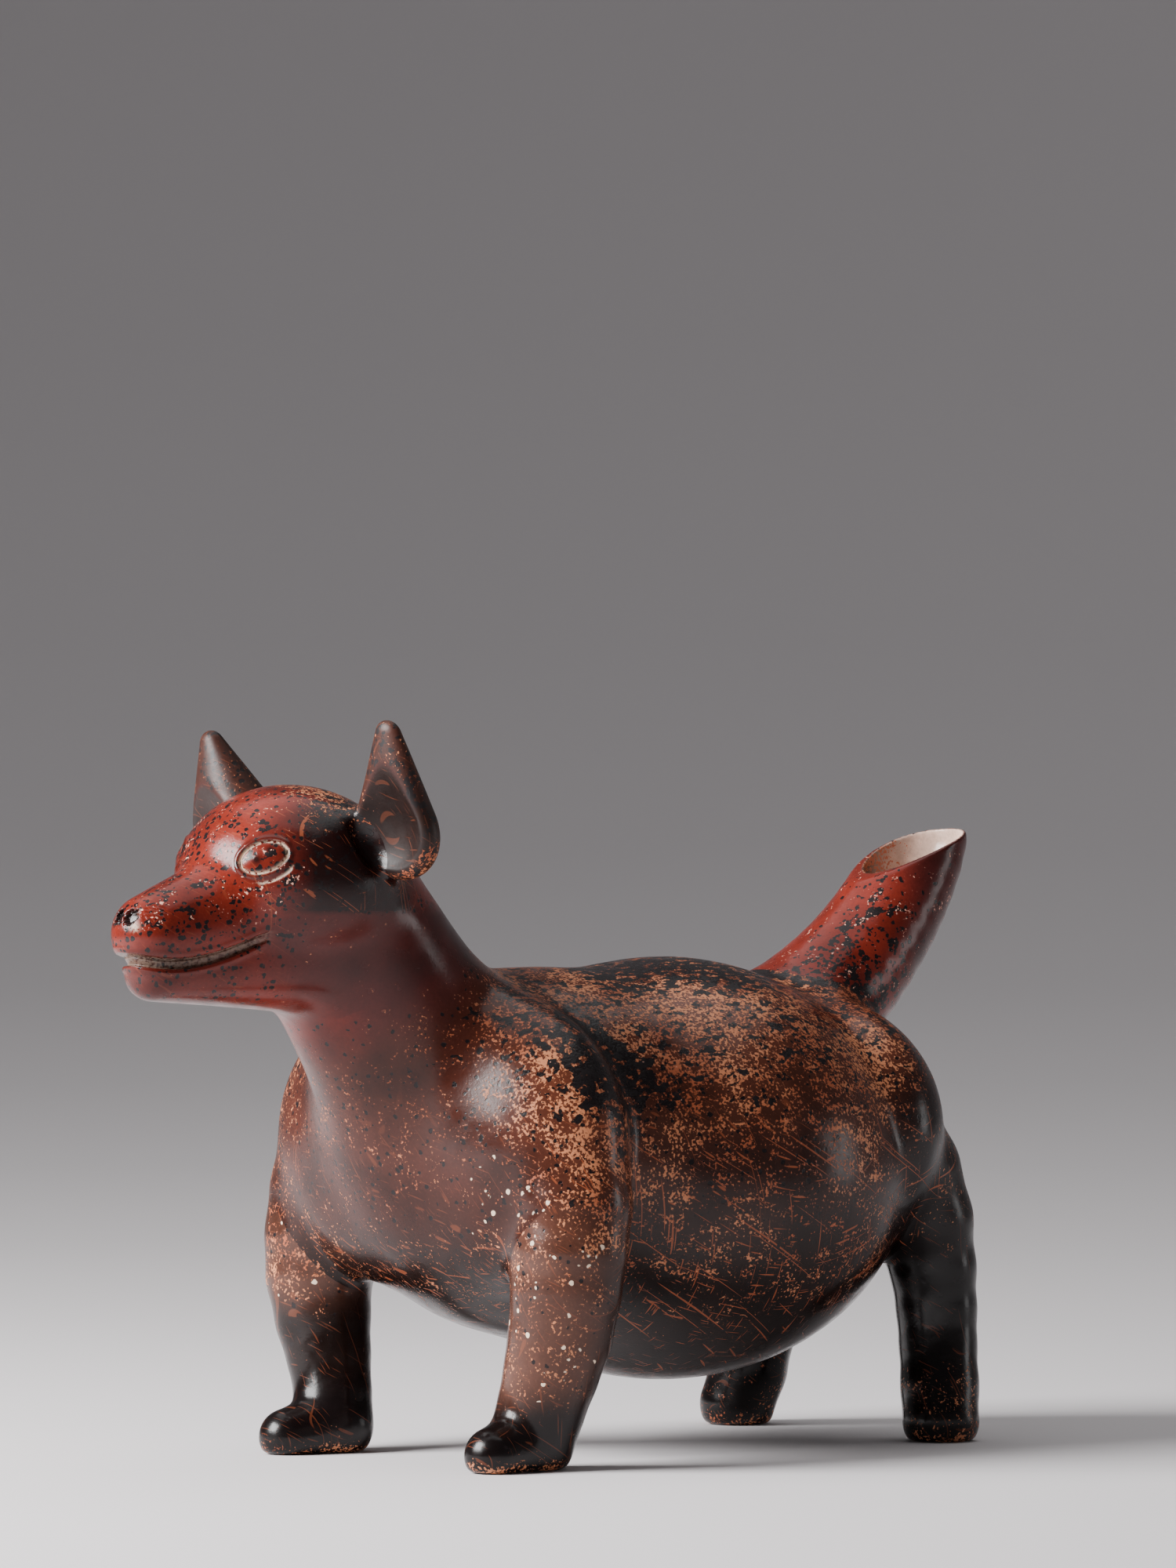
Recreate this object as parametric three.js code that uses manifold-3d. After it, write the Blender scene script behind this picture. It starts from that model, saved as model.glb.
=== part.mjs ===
// A pottery dog that is a vessel: a hollow body on four short legs, with a spout for a tail.
// Millimetres, +Z up. -X runs to the nose, +X to the tail and -Y to the dog's left.
// It is built as the pot was: formed pieces of clay, each luted with slip to the form that carries it.

import * as THREE from 'three';
import { mergeVertices } from 'three/addons/utils/BufferGeometryUtils.js';
import Module from 'manifold-3d';

const wasm = await Module();
wasm.setup();

// Clay and joints
const WALL = 7; // fired wall of the body, neck, head and legs
const SPOUT_WALL = 5.5;
const SOLE = 12; // solid clay under each leg's hollow
const VENT = { radius: 8, along: 14, inward: 26, up: 16 }; // hole from the body into each leg's top
const SLIP = 0.5; // film of slip in each flat joint, left open as a gap
const SEAT_SLIP = 0.75; // the same in a joint that follows a curved form
const BODY_COLLAR = 6; // how far the body swells out to meet the legs and spout
const HEAD_COLLAR = 3.5; // how far the head swells out to meet the ears

// Body: swellings that run into each other. at is the centre and half the three half sizes.
// blend is how softly a form runs into the ones before it.
const BARREL = { at: [16, 0, 106], half: [98, 92, 81] };
const FOREPART = { at: [-50, 0, 114], half: [78, 72, 70], blend: 20 };
const SHOULDER = { at: [-90, -30, 119], half: [36, 58, 55], blend: 10 };
const HAUNCH = { at: [76, -20, 121], half: [39, 61, 51], blend: 10 };
const SPLIT = 125; // height of the joint between the two halves of the body

// Left legs: points down the limb, each with the radius of the clay there
const FORELEG_TOP = { at: [-92, -71, 96], radius: 22 };
const ELBOW = { at: [-95.5, -72, 66], radius: 20 };
const SHIN = { at: [-96, -64, 36], radius: 17 };
const WRIST = { at: [-100, -57, 12], radius: 14.2 };
const PAW = { height: 9, radius: 12, blend: 8 };
const TOE = { forward: 21, outward: 2.5, height: 6.5, radius: 8.5 };
const RIGHT_THINNER = [0, 0, 1.8, 1.6]; // what the right foreleg lacks in each radius, as the pot was made by hand
const HINDLEG_TOP = { at: [99, -50, 104], radius: 20.5 };
const STIFLE = { at: [112, -50.5, 66], radius: 16 };
const HOCK = { at: [114.5, -50, 40], radius: 14.2 };
const HEEL = { at: [108.5, -58, 8], radius: 15 };
const LEG_BLEND = 12; // how softly one stretch of a leg runs into the next
const FORELEG_BLEND = 14; // and the legs into the body
const HINDLEG_BLEND = 12;

// Neck, head and ears
// The neck's two joints are flat, so far up its axis.
const NECK = { from: [-97, 0, 136], to: [-149.5, 0, 206.5], base: 40, top: 34.6, blend: 34 };
const NECK_JOINTS = { body: 30, head: 62 };
const SKULL = { at: [-169.5, 0, 218], half: [42, 41, 35], blend: 14 };
const MUZZLE = { from: [-190, 0, 206], to: [-233.5, 0, 198.5], back: 25, tip: 15.2, blend: 10 };
const NOSE_POLE = 0.25; // share of the way from the muzzle's tip to the jaw's where rows of points start
const JAW = { from: [-164, 0, 192.5], to: [-233, 0, 183.5], back: 24, tip: 9.8, spread: 1.2, blend: 6 };
const EAR_TURN = 5; // degrees that the ears face outward
const EAR_LEAN = 15; // degrees that they lean forward
const EAR_BLEND = 8;
// at is the middle of the lobe, and height and splay are from there to the middle of the tip.
const LEFT_EAR = { at: [-155, -45.5, 236], height: 35.5, splay: 4.5, lobe: 18.8, tip: 6.3, thickness: 0.58 };
const RIGHT_EAR = { at: [-155, 46.5, 235], height: 33.5, splay: 4.5, lobe: 21, tip: 6, thickness: 0.75 };
// The cup in each ear's front: forward, outward and up are from the lobe's middle.
const LEFT_CUP = { forward: 9, outward: 2, up: 2, height: 28, splay: 4, lobe: 15.5, tip: 4, thickness: 0.5 };
const RIGHT_CUP = { forward: 13, outward: 2, up: 2, height: 26, splay: 4, lobe: 16, tip: 4, thickness: 0.4 };

// Features pressed or cut into the head while the clay was leather hard
const NOSTRIL = { aside: 4, up: 6.2, radius: 3 }; // from the middle of the muzzle's tip
// The mouth's heights are at its front and corners. curl is how suddenly it turns up at the corners.
const MOUTH = { front: 189.5, corner: 197, sag: 8, back: -199, radius: 1.7, taper: 0.6, curl: 4 };
// The eye's line is an almond, drawn to a finer point with a larger point. up is from the skull's middle.
const EYE = { turn: 37.6, up: 8.6, length: 17.5, height: 11.5, tilt: 16, radius: 0.9, point: 0.6 };

// Spout: from the rump up and back to a mouth cut on a slant
const SPOUT = {
  from: [86, 0, 160],
  bend: [131, 0, 197],
  to: [153, 0, 231],
  base: 26,
  middle: 21.3,
  top: 19.6,
  blend: 20,
};
const SPOUT_BLEND = 8;
const MOUTH_CUT = { at: [147, 0, 227], slope: 21.5 }; // middle of the cut, and degrees that it rises

// Steps of the surface
const AROUND = {
  body: 42,
  bodyHollow: 32,
  neck: 30,
  head: 32,
  headHollow: 20,
  ear: 20,
  earCup: 16,
  leg: 20,
  vent: 12,
  spout: 24,
  groove: 6,
  nostril: 10,
};
const ALONG = {
  body: 26,
  bodyHollow: 18,
  neck: 4,
  neckHollow: 2,
  head: 22,
  headHollow: 14,
  ear: 12,
  earCup: 10,
  leg: 9,
  legHollow: 5,
  spout: 8,
  spoutHollow: 6,
  joint: 5,
  mouth: 22,
  eye: 20,
  nostril: 8,
};
const LEG_CROWDING = 1.2; // above 1, a leg's rows crowd towards its sole

// Steps of the search for a surface along a ray
const STRIDE = 2.5;
const HALVINGS = 26;
const SETTLINGS = 6;
const NUDGE = 0.01;

// Vectors as plain triples
const add = (a, b, s = 1) => [a[0] + b[0] * s, a[1] + b[1] * s, a[2] + b[2] * s];
const minus = (a, b) => [a[0] - b[0], a[1] - b[1], a[2] - b[2]];
const dot = (a, b) => a[0] * b[0] + a[1] * b[1] + a[2] * b[2];
const cross = (a, b) => [a[1] * b[2] - a[2] * b[1], a[2] * b[0] - a[0] * b[2], a[0] * b[1] - a[1] * b[0]];
const length = (a) => Math.hypot(a[0], a[1], a[2]);
const unit = (a) => a.map((value) => value / length(a));
const between = (a, b, t) => add(a, minus(b, a), t);
const leftOnly = (p) => [p[0], -Math.abs(p[1]), p[2]];
const upright = [0, 0, 1];
const toTheRight = [0, 1, 0];
const radians = THREE.MathUtils.degToRad;

// Forms of clay. Each gives about the distance from a point to its surface, negative in the clay.
function swelling({ at, half }) {
  return (p) => {
    const q = minus(p, at);
    const scaled = length([q[0] / half[0], q[1] / half[1], q[2] / half[2]]);
    const steep = length([q[0] / half[0] ** 2, q[1] / half[1] ** 2, q[2] / half[2] ** 2]);
    return (scaled * (scaled - 1)) / Math.max(steep, 1e-9);
  };
}

function roll(from, to, startRadius, endRadius) {
  const axis = minus(to, from);
  const long = dot(axis, axis);
  const taper = startRadius - endRadius;
  const slant = long - taper * taper;
  return (p) => {
    const q = minus(p, from);
    const y = dot(q, axis);
    const z = y - long;
    const side = add(q.map((value) => value * long), axis, -y);
    const x2 = dot(side, side);
    const y2 = y * y * long;
    const z2 = z * z * long;
    const limit = Math.sign(taper) * taper * taper * x2;
    if (Math.sign(z) * slant * z2 > limit) return Math.sqrt(x2 + z2) / long - endRadius;
    if (Math.sign(y) * slant * y2 < limit) return Math.sqrt(x2 + y2) / long - startRadius;
    return (Math.sqrt((x2 * slant) / long) + y * taper) / long - startRadius;
  };
}

function runTogether(first, second, softness) {
  return (p) => {
    const a = first(p);
    const b = second(p);
    const near = Math.max(softness - Math.abs(a - b), 0) / softness;
    return Math.min(a, b) - (near ** 3 * softness) / 6;
  };
}

const paired = (field) => (p) => field(leftOnly(p));
const otherSide = ([x, y, z]) => [x, -y, z];
const onOtherSide = (field) => (p) => field(otherSide(p));

// The forms of this dog
function bodyForm() {
  let form = runTogether(swelling(BARREL), swelling(FOREPART), FOREPART.blend);
  form = runTogether(form, paired(swelling(SHOULDER)), SHOULDER.blend);
  return runTogether(form, paired(swelling(HAUNCH)), HAUNCH.blend);
}

const forelegLine = [FORELEG_TOP, ELBOW, SHIN, WRIST];
const hindlegLine = [HINDLEG_TOP, STIFLE, HOCK, HEEL];

function limbForm(line) {
  const stretches = line.slice(1).map((end, i) => roll(line[i].at, end.at, line[i].radius, end.radius));
  return stretches.reduce((form, stretch) => runTogether(form, stretch, LEG_BLEND));
}

function forelegForm(thinner) {
  const [x, y] = WRIST.at;
  const toe = [x - TOE.forward, y - TOE.outward, TOE.height];
  const paw = roll([x, y, PAW.height], toe, PAW.radius, TOE.radius);
  const line = forelegLine.map(({ at, radius }, i) => ({ at, radius: radius - thinner[i] }));
  return runTogether(limbForm(line), paw, PAW.blend);
}

function headForm() {
  const narrowed = (p) => [p[0], p[1] / JAW.spread, p[2]];
  const jawRoll = roll(JAW.from, JAW.to, JAW.back, JAW.tip);
  const muzzle = roll(MUZZLE.from, MUZZLE.to, MUZZLE.back, MUZZLE.tip);
  const form = runTogether(swelling(SKULL), muzzle, MUZZLE.blend);
  return runTogether(form, (p) => jawRoll(narrowed(p)), JAW.blend);
}

// An ear's own axes: through it, outward across its breadth and up to the tip. side is -1 on the left.
function earAxes(side) {
  const turn = radians(EAR_TURN);
  const lean = radians(EAR_LEAN);
  const outward = [Math.sin(turn), Math.cos(turn) * side, 0];
  const level = [Math.cos(turn), -Math.sin(turn) * side, 0];
  const back = add(level.map((value) => value * Math.cos(lean)), upright, Math.sin(lean));
  const up = add(level.map((value) => -value * Math.sin(lean)), upright, Math.cos(lean));
  return { back, outward, up };
}

function leaf(origin, side, { height, splay, lobe, tip, thickness }) {
  const { back, outward, up } = earAxes(side);
  const flattened = roll([0, 0, 0], [0, splay, height], lobe, tip);
  return (p) => {
    const q = minus(p, origin);
    return flattened([dot(q, back) / thickness, dot(q, outward), dot(q, up)]) * thickness;
  };
}

function inEar(origin, side, x, y, z) {
  const { back, outward, up } = earAxes(side);
  return add(add(add(origin, back, x), outward, y), up, z);
}

const cupOrigin = (ear, cup, side) => inEar(ear.at, side, -cup.forward, cup.outward, cup.up);

const body = bodyForm();
const leftForeleg = forelegForm([0, 0, 0, 0]);
const rightForeleg = onOtherSide(forelegForm(RIGHT_THINNER));
const hindlegs = paired(limbForm(hindlegLine));
const neck = roll(NECK.from, NECK.to, NECK.base, NECK.top);
const head = headForm();
const leftEar = leaf(LEFT_EAR.at, -1, LEFT_EAR);
const rightEar = leaf(RIGHT_EAR.at, 1, RIGHT_EAR);
const spout = runTogether(
  roll(SPOUT.from, SPOUT.bend, SPOUT.base, SPOUT.middle),
  roll(SPOUT.bend, SPOUT.to, SPOUT.middle, SPOUT.top),
  SPOUT_BLEND,
);

// The whole outer skin, with every piece run into the next
function wholeSkin() {
  let skin = runTogether(body, leftForeleg, FORELEG_BLEND);
  skin = runTogether(skin, rightForeleg, FORELEG_BLEND);
  skin = runTogether(skin, hindlegs, HINDLEG_BLEND);
  skin = runTogether(skin, neck, NECK.blend);
  skin = runTogether(skin, head, SKULL.blend);
  skin = runTogether(skin, leftEar, EAR_BLEND);
  skin = runTogether(skin, rightEar, EAR_BLEND);
  return runTogether(skin, spout, SPOUT.blend);
}

const skin = wholeSkin();

// What the legs and spout stand on is the body with its neck, and the ears the head with its neck.
const core = runTogether(body, neck, NECK.blend);
const headCore = runTogether(head, neck, SKULL.blend);
const neckAxis = unit(minus(NECK.to, NECK.from));
const upNeck = (p) => dot(minus(p, NECK.from), neckAxis);

// No ray from inside a piece to its skin is longer than from the middle of the body to the spout's end.
const longestRay = SPOUT.to[0] - BARREL.at[0];

// Distance from a point in the clay, along a ray, to where the field turns positive
function depthAlong(origin, direction, field, reach = longestRay) {
  let inside = 0;
  let outside = reach;
  for (let step = STRIDE; step <= reach; step += STRIDE) {
    if (field(add(origin, direction, step)) > 0) {
      outside = step;
      break;
    }
    inside = step;
  }
  for (let i = 0; i < HALVINGS; i += 1) {
    const middle = (inside + outside) / 2;
    if (field(add(origin, direction, middle)) > 0) outside = middle;
    else inside = middle;
  }
  return (inside + outside) / 2;
}

// First place from start towards stop where a test turns true
function firstPlace(start, stop, test) {
  const sign = Math.sign(stop - start);
  let before = start;
  let after = stop;
  for (let at = start; (stop - at) * sign > 0; at += sign * STRIDE) {
    if (test(at)) {
      after = at;
      break;
    }
    before = at;
  }
  for (let i = 0; i < HALVINGS; i += 1) {
    const middle = (before + after) / 2;
    if (test(middle)) after = middle;
    else before = middle;
  }
  return (before + after) / 2;
}

// Solids from rows of points. A row of one point is a tip.
function signedVolume(points, faces) {
  return faces.reduce((sum, [a, b, c]) => sum + dot(points[a], cross(points[b], points[c])), 0);
}

function solidOf(positions, triangles) {
  const mesh = new wasm.Mesh({
    numProp: 3,
    vertProperties: new Float32Array(positions),
    triVerts: new Uint32Array(triangles),
  });
  return new wasm.Manifold(mesh);
}

function solidFrom(points, faces) {
  const facing = signedVolume(points, faces) < 0 ? faces.map(([a, b, c]) => [a, c, b]) : faces;
  return solidOf(points.flat(), facing.flat());
}

function solidOfGeometry(geometry) {
  geometry.deleteAttribute('normal');
  geometry.deleteAttribute('uv');
  const merged = mergeVertices(geometry, 1e-4);
  return solidOf(merged.attributes.position.array, merged.index.array);
}

function stitch(rows, joinEnds) {
  const points = rows.flat();
  const starts = [];
  rows.reduce((start, row) => {
    starts.push(start);
    return start + row.length;
  }, 0);
  const faces = [];
  const pairs = joinEnds ? rows.length : rows.length - 1;
  for (let j = 0; j < pairs; j += 1) {
    const next = (j + 1) % rows.length;
    const count = Math.max(rows[j].length, rows[next].length);
    const low = (i) => starts[j] + (i % rows[j].length);
    const high = (i) => starts[next] + (i % rows[next].length);
    for (let i = 0; i < count; i += 1) {
      if (rows[j].length > 1) faces.push([low(i), low(i + 1), high(i)]);
      if (rows[next].length > 1) faces.push([low(i + 1), high(i + 1), high(i)]);
    }
  }
  return solidFrom(points, faces);
}

// A point moved square to a field's surfaces until the field has the given value there
function settle(point, field, value) {
  let p = point;
  for (let i = 0; i < SETTLINGS; i += 1) {
    const here = field(p) - value;
    const slope = [0, 1, 2].map((axis) => {
      const nudge = [0, 0, 0];
      nudge[axis] = NUDGE;
      return (field(add(p, nudge)) - value - here) / NUDGE;
    });
    p = add(p, slope, -here / Math.max(dot(slope, slope), 1e-6));
  }
  return p;
}

// Rows across a joint's face, from the rim of one row to the rim of another
function jointRows(outer, inner, field, value) {
  return steps(ALONG.joint - 1).map((k) => outer.map((p, i) => (
    settle(between(p, inner[i], (k + 1) / ALONG.joint), field, value)
  )));
}

const middleOf = (row) => row.reduce((sum, p) => add(sum, p, 1 / row.length), [0, 0, 0]);
const steps = (count) => Array.from({ length: count }, (_, i) => i);
const angles = (count) => steps(count).map((i) => (i / count) * 2 * Math.PI);

// A closed skin seen from a spine inside it: rays fan out from the spine's two ends
function aroundSpine(from, to, field, around, along) {
  const axis = unit(minus(to, from));
  const side = unit(cross(axis, upright));
  const upward = cross(side, axis);
  const rows = steps(along + 1).map((j) => {
    const swing = (j / along) * Math.PI;
    const origin = between(from, to, (1 - Math.cos(swing)) / 2);
    const count = j === 0 || j === along ? 1 : around;
    return angles(count).map((angle) => {
      const outward = add(side.map((value) => value * Math.cos(angle)), upward, Math.sin(angle));
      const ray = add(axis.map((value) => -value * Math.cos(swing)), outward, Math.sin(swing));
      return add(origin, ray, depthAlong(origin, ray, field));
    });
  });
  return stitch(rows, false);
}

// Body shell, with a collar under each luted piece, cut by the hollows that open into it
const spineFront = [SHOULDER.at[0], 0, FOREPART.at[2]];
const spineBack = [HAUNCH.at[0], 0, HAUNCH.at[2]];

function bodyShell() {
  const collared = (p) => Math.max(skin(p), core(p) - BODY_COLLAR, upNeck(p) - NECK_JOINTS.body + SLIP / 2);
  const hollow = (p) => body(p) + WALL;
  const outer = aroundSpine(spineFront, spineBack, collared, AROUND.body, ALONG.body);
  const inner = aroundSpine(spineFront, spineBack, hollow, AROUND.bodyHollow, ALONG.bodyHollow);
  return outer.subtract(inner);
}

// A direction square to an axis that leans along X and Z, turned from +Y by an angle
function squareTo(axis, angle) {
  const level = toTheRight.map((value) => value * Math.cos(angle));
  return add(level, cross(axis, toTheRight), Math.sin(angle));
}

// A tube of clay between two ends. The outside follows the skin, the bore its own form, and each end
// is where a test of the point says that the piece stops. The start may lie on a curved form.
function tube({ from, to, outside, bore, startsWhere, endsWhere, around, along, boreAlong, seat }) {
  const axis = unit(minus(to, from));
  const long = length(minus(to, from));
  const wallPoint = (angle, t, field) => {
    const origin = add(from, axis, t);
    const ray = squareTo(axis, angle);
    return add(origin, ray, depthAlong(origin, ray, field, long));
  };
  const wallRows = (field, count) => {
    const ends = angles(around).map((angle) => ({
      angle,
      start: firstPlace(long / 2, -long / 2, (t) => startsWhere(wallPoint(angle, t, field))),
      stop: firstPlace(long / 2, long * 2, (t) => endsWhere(wallPoint(angle, t, field))),
    }));
    return steps(count + 1).map((j) => ends.map(({ angle, start, stop }) => (
      wallPoint(angle, start + ((stop - start) * j) / count, field)
    )));
  };
  const outerRows = wallRows(outside, along);
  const innerRows = wallRows(bore, boreAlong).reverse();
  const seatRows = seat ? jointRows(innerRows.at(-1), outerRows[0], core, BODY_COLLAR + SEAT_SLIP) : [];
  return stitch([...outerRows, ...innerRows, ...seatRows], true);
}

// The hollow of a tube as a plug, to cut the wall that the tube stands on
function boreSolid(line, thickness, around) {
  const start = line[0].at;
  const stop = line.at(-1).at;
  const axis = unit(minus(stop, start));
  const rows = line.map(({ at, radius }) => (
    angles(around).map((angle) => add(at, squareTo(axis, angle), radius - thickness))
  ));
  return stitch([[start], ...rows, [stop]], false);
}

const onBody = (p) => core(p) < BODY_COLLAR + SEAT_SLIP;

const neckTube = tube({
  from: NECK.from,
  to: NECK.to,
  outside: skin,
  bore: (p) => neck(p) + WALL,
  startsWhere: (p) => upNeck(p) < NECK_JOINTS.body + SLIP / 2,
  endsWhere: (p) => upNeck(p) > NECK_JOINTS.head - SLIP / 2,
  around: AROUND.neck,
  along: ALONG.neck,
  boreAlong: ALONG.neckHollow,
  seat: false,
});

const cutSlope = radians(MOUTH_CUT.slope);
const cutNormal = [-Math.sin(cutSlope), 0, Math.cos(cutSlope)];
const spoutTube = tube({
  from: SPOUT.from,
  to: SPOUT.to,
  outside: skin,
  bore: (p) => spout(p) + SPOUT_WALL,
  startsWhere: onBody,
  endsWhere: (p) => dot(minus(p, MOUTH_CUT.at), cutNormal) > 0,
  around: AROUND.spout,
  along: ALONG.spout,
  boreAlong: ALONG.spoutHollow,
  seat: true,
});

// Neck and spout plugs run from inside the body's hollow to just past the collar they open through
const neckPlug = boreSolid(
  [
    { at: add(NECK.from, neckAxis, -NECK.base / 2), radius: NECK.base },
    { at: NECK.from, radius: NECK.base },
    { at: NECK.to, radius: NECK.top },
  ],
  WALL,
  AROUND.neck,
);
const spoutPlug = boreSolid(
  [
    { at: SPOUT.from, radius: SPOUT.base },
    { at: SPOUT.bend, radius: SPOUT.middle },
  ],
  SPOUT_WALL,
  AROUND.spout,
);

// A leg of the left side, from a whole skin, stands on a flat sole. Rows rise from the sole to the joint,
// cross it and go down the hollow.
function legSolid(line, limb, outside) {
  const centreAt = (z) => {
    const i = line.findIndex((point, k) => k > 0 && z >= point.at[2]);
    const low = line[i < 1 ? line.length - 1 : i].at;
    const high = line[i < 1 ? line.length - 2 : i - 1].at;
    const along = THREE.MathUtils.clamp((z - low[2]) / (high[2] - low[2]), 0, 1);
    const at = between(low, high, along);
    return [at[0], at[1], z];
  };
  const top = line[0].at[2] + line[0].radius;
  const reach = line[0].radius * 2;
  const wallPoint = (angle, z, field) => {
    const origin = centreAt(z);
    const ray = [Math.cos(angle), Math.sin(angle), 0];
    return add(origin, ray, depthAlong(origin, ray, field, reach));
  };
  const rowsUp = (field, floor, count) => {
    const tops = angles(AROUND.leg).map((angle) => ({
      angle,
      joint: firstPlace(line[1].at[2] / 2, top, (z) => onBody(wallPoint(angle, z, field))),
    }));
    return steps(count + 1).map((j) => tops.map(({ angle, joint }) => (
      wallPoint(angle, floor + (joint - floor) * (j / count) ** LEG_CROWDING, field)
    )));
  };
  const outer = rowsUp(outside, 0, ALONG.leg);
  const inner = rowsUp((p) => limb(p) + WALL, SOLE, ALONG.legHollow).reverse();
  const joint = jointRows(outer.at(-1), inner[0], core, BODY_COLLAR + SEAT_SLIP);
  return stitch([[middleOf(outer[0])], ...outer, ...joint, ...inner, [middleOf(inner.at(-1))]], false);
}

// A round hole through the body's wall into a left leg's hollow, towards the middle of the body
function ventSolid([top, middle]) {
  const [x, y, z] = top.at;
  const inBody = [x - Math.sign(x) * VENT.along, y + VENT.inward, z + VENT.up];
  const ends = [middle.at, inBody].map((at) => ({ at, radius: VENT.radius }));
  return boreSolid(ends, 0, AROUND.vent);
}

// Head: a hollow skull and muzzle, open at the back to the neck
const nosePole = between(MUZZLE.to, JAW.to, NOSE_POLE);
const onHeadFrom = (origin, ray) => add(origin, ray, depthAlong(origin, ray, skin));

// A groove: a thin round bar laid along a line on the skin, half sunk
function grooveSolid(line, radiusAt, closed) {
  const last = line.length - 1;
  const rows = line.map((p, i) => {
    const before = closed ? (i + last) % line.length : Math.max(i - 1, 0);
    const after = closed ? (i + 1) % line.length : Math.min(i + 1, last);
    const onward = unit(minus(line[after], line[before]));
    const outward = unit(cross(onward, cross(minus(p, SKULL.at), onward)));
    const aside = cross(onward, outward);
    return angles(AROUND.groove).map((angle) => (
      add(add(p, outward, radiusAt(i) * Math.cos(angle)), aside, radiusAt(i) * Math.sin(angle))
    ));
  });
  return closed ? stitch(rows, true) : stitch([[line[0]], ...rows, [line.at(-1)]], false);
}

// The smile: from one corner, round under the nose, to the other
function mouthGroove() {
  const last = ALONG.mouth;
  const swings = steps(last + 1).map((i) => (i / last - 0.5) * Math.PI);
  const line = swings.map((swing) => {
    const aside = Math.abs(Math.sin(swing));
    const rise = (MOUTH.corner - MOUTH.front) * aside ** MOUTH.curl;
    const height = MOUTH.front + rise - MOUTH.sag * aside * (1 - aside);
    const origin = [between([MOUTH.back, 0, 0], JAW.to, Math.cos(swing))[0], 0, height];
    return onHeadFrom(origin, [-Math.cos(swing), Math.sin(swing), 0]);
  });
  const radiusAt = (i) => MOUTH.radius * (1 - MOUTH.taper * Math.abs((2 * i) / last - 1) ** MOUTH.curl);
  return grooveSolid(line, radiusAt, false);
}

// An almond round the eye: two arcs that meet at its corners
function eyeGroove(side) {
  const turn = radians(EYE.turn);
  const tilt = radians(EYE.tilt);
  const facing = [-Math.cos(turn), Math.sin(turn) * side, 0];
  const along = [-Math.sin(turn), -Math.cos(turn) * side, 0];
  const centre = onHeadFrom(add(SKULL.at, upright, EYE.up), facing);
  const line = angles(ALONG.eye).map((angle) => {
    const u = (EYE.length / 2) * Math.cos(angle);
    const v = (EYE.height / 2) * Math.sin(angle) * Math.abs(Math.sin(angle)) ** EYE.point;
    const level = add(centre, along, u * Math.cos(tilt) + v * Math.sin(tilt));
    const target = add(level, upright, v * Math.cos(tilt) - u * Math.sin(tilt));
    return onHeadFrom(SKULL.at, unit(minus(target, SKULL.at)));
  });
  return grooveSolid(line, () => EYE.radius, true);
}

function nostril(side) {
  const origin = add(MUZZLE.to, [0, NOSTRIL.aside * side, NOSTRIL.up]);
  const ball = new THREE.SphereGeometry(NOSTRIL.radius, AROUND.nostril, ALONG.nostril);
  ball.translate(...onHeadFrom(origin, [-1, 0, 0]));
  return solidOfGeometry(ball);
}

function headShell() {
  const collared = (p) => Math.max(
    skin(p),
    headCore(p) - HEAD_COLLAR,
    NECK_JOINTS.head + SLIP / 2 - upNeck(p),
  );
  const hollow = (p) => head(p) + WALL;
  const outer = aroundSpine(nosePole, SKULL.at, collared, AROUND.head, ALONG.head);
  const inner = aroundSpine(nosePole, SKULL.at, hollow, AROUND.headHollow, ALONG.headHollow);
  const shell = outer.subtract(inner).subtract(neckPlug).subtract(mouthGroove());
  return [-1, 1].reduce((cut, side) => cut.subtract(eyeGroove(side)).subtract(nostril(side)), shell);
}

// An ear: a leaf of clay, pressed on to the head, with a cup scooped out of its front
function earSolid(ear, cup, side) {
  const onHead = (p) => Math.max(skin(p), HEAD_COLLAR + SEAT_SLIP - headCore(p));
  const tipCentre = inEar(ear.at, side, 0, ear.splay, ear.height);
  const cupMiddle = cupOrigin(ear, cup, side);
  const cupTip = inEar(cupMiddle, side, 0, cup.splay, cup.height);
  const whole = aroundSpine(ear.at, tipCentre, onHead, AROUND.ear, ALONG.ear);
  const scoop = aroundSpine(cupMiddle, cupTip, leaf(cupMiddle, side, cup), AROUND.earCup, ALONG.earCup);
  return whole.subtract(scoop);
}

// Splitting the body where its two halves were luted, with slabs that are wider and taller than the dog
const wide = 2 * (SPOUT.to[0] - MUZZLE.to[0]);

function slab(low, high) {
  const geometry = new THREE.BoxGeometry(wide, wide, high - low);
  geometry.translate(0, 0, (low + high) / 2);
  return solidOfGeometry(geometry);
}

function geometryOf(solid) {
  const mesh = solid.getMesh();
  const geometry = new THREE.BufferGeometry();
  geometry.setAttribute('position', new THREE.BufferAttribute(new Float32Array(mesh.vertProperties), 3));
  geometry.setIndex(new THREE.BufferAttribute(new Uint32Array(mesh.triVerts), 1));
  geometry.computeVertexNormals();
  return geometry;
}

// Slips and burnish, as worn in the photograph
const slip = (color, roughness) => new THREE.MeshStandardMaterial({ color, roughness, metalness: 0 });
const RED = slip(0x8f3322, 0.3);
const BROWN = slip(0x4e2a1c, 0.28);
const SPECKLED = slip(0x7a4630, 0.33);
const DARK = slip(0x35201a, 0.26);
const EAR_BROWN = slip(0x4a3526, 0.45);

const dog = new THREE.Group();

function place(name, solid, material) {
  const mesh = new THREE.Mesh(geometryOf(solid), material);
  mesh.name = name;
  dog.add(mesh);
}

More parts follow.
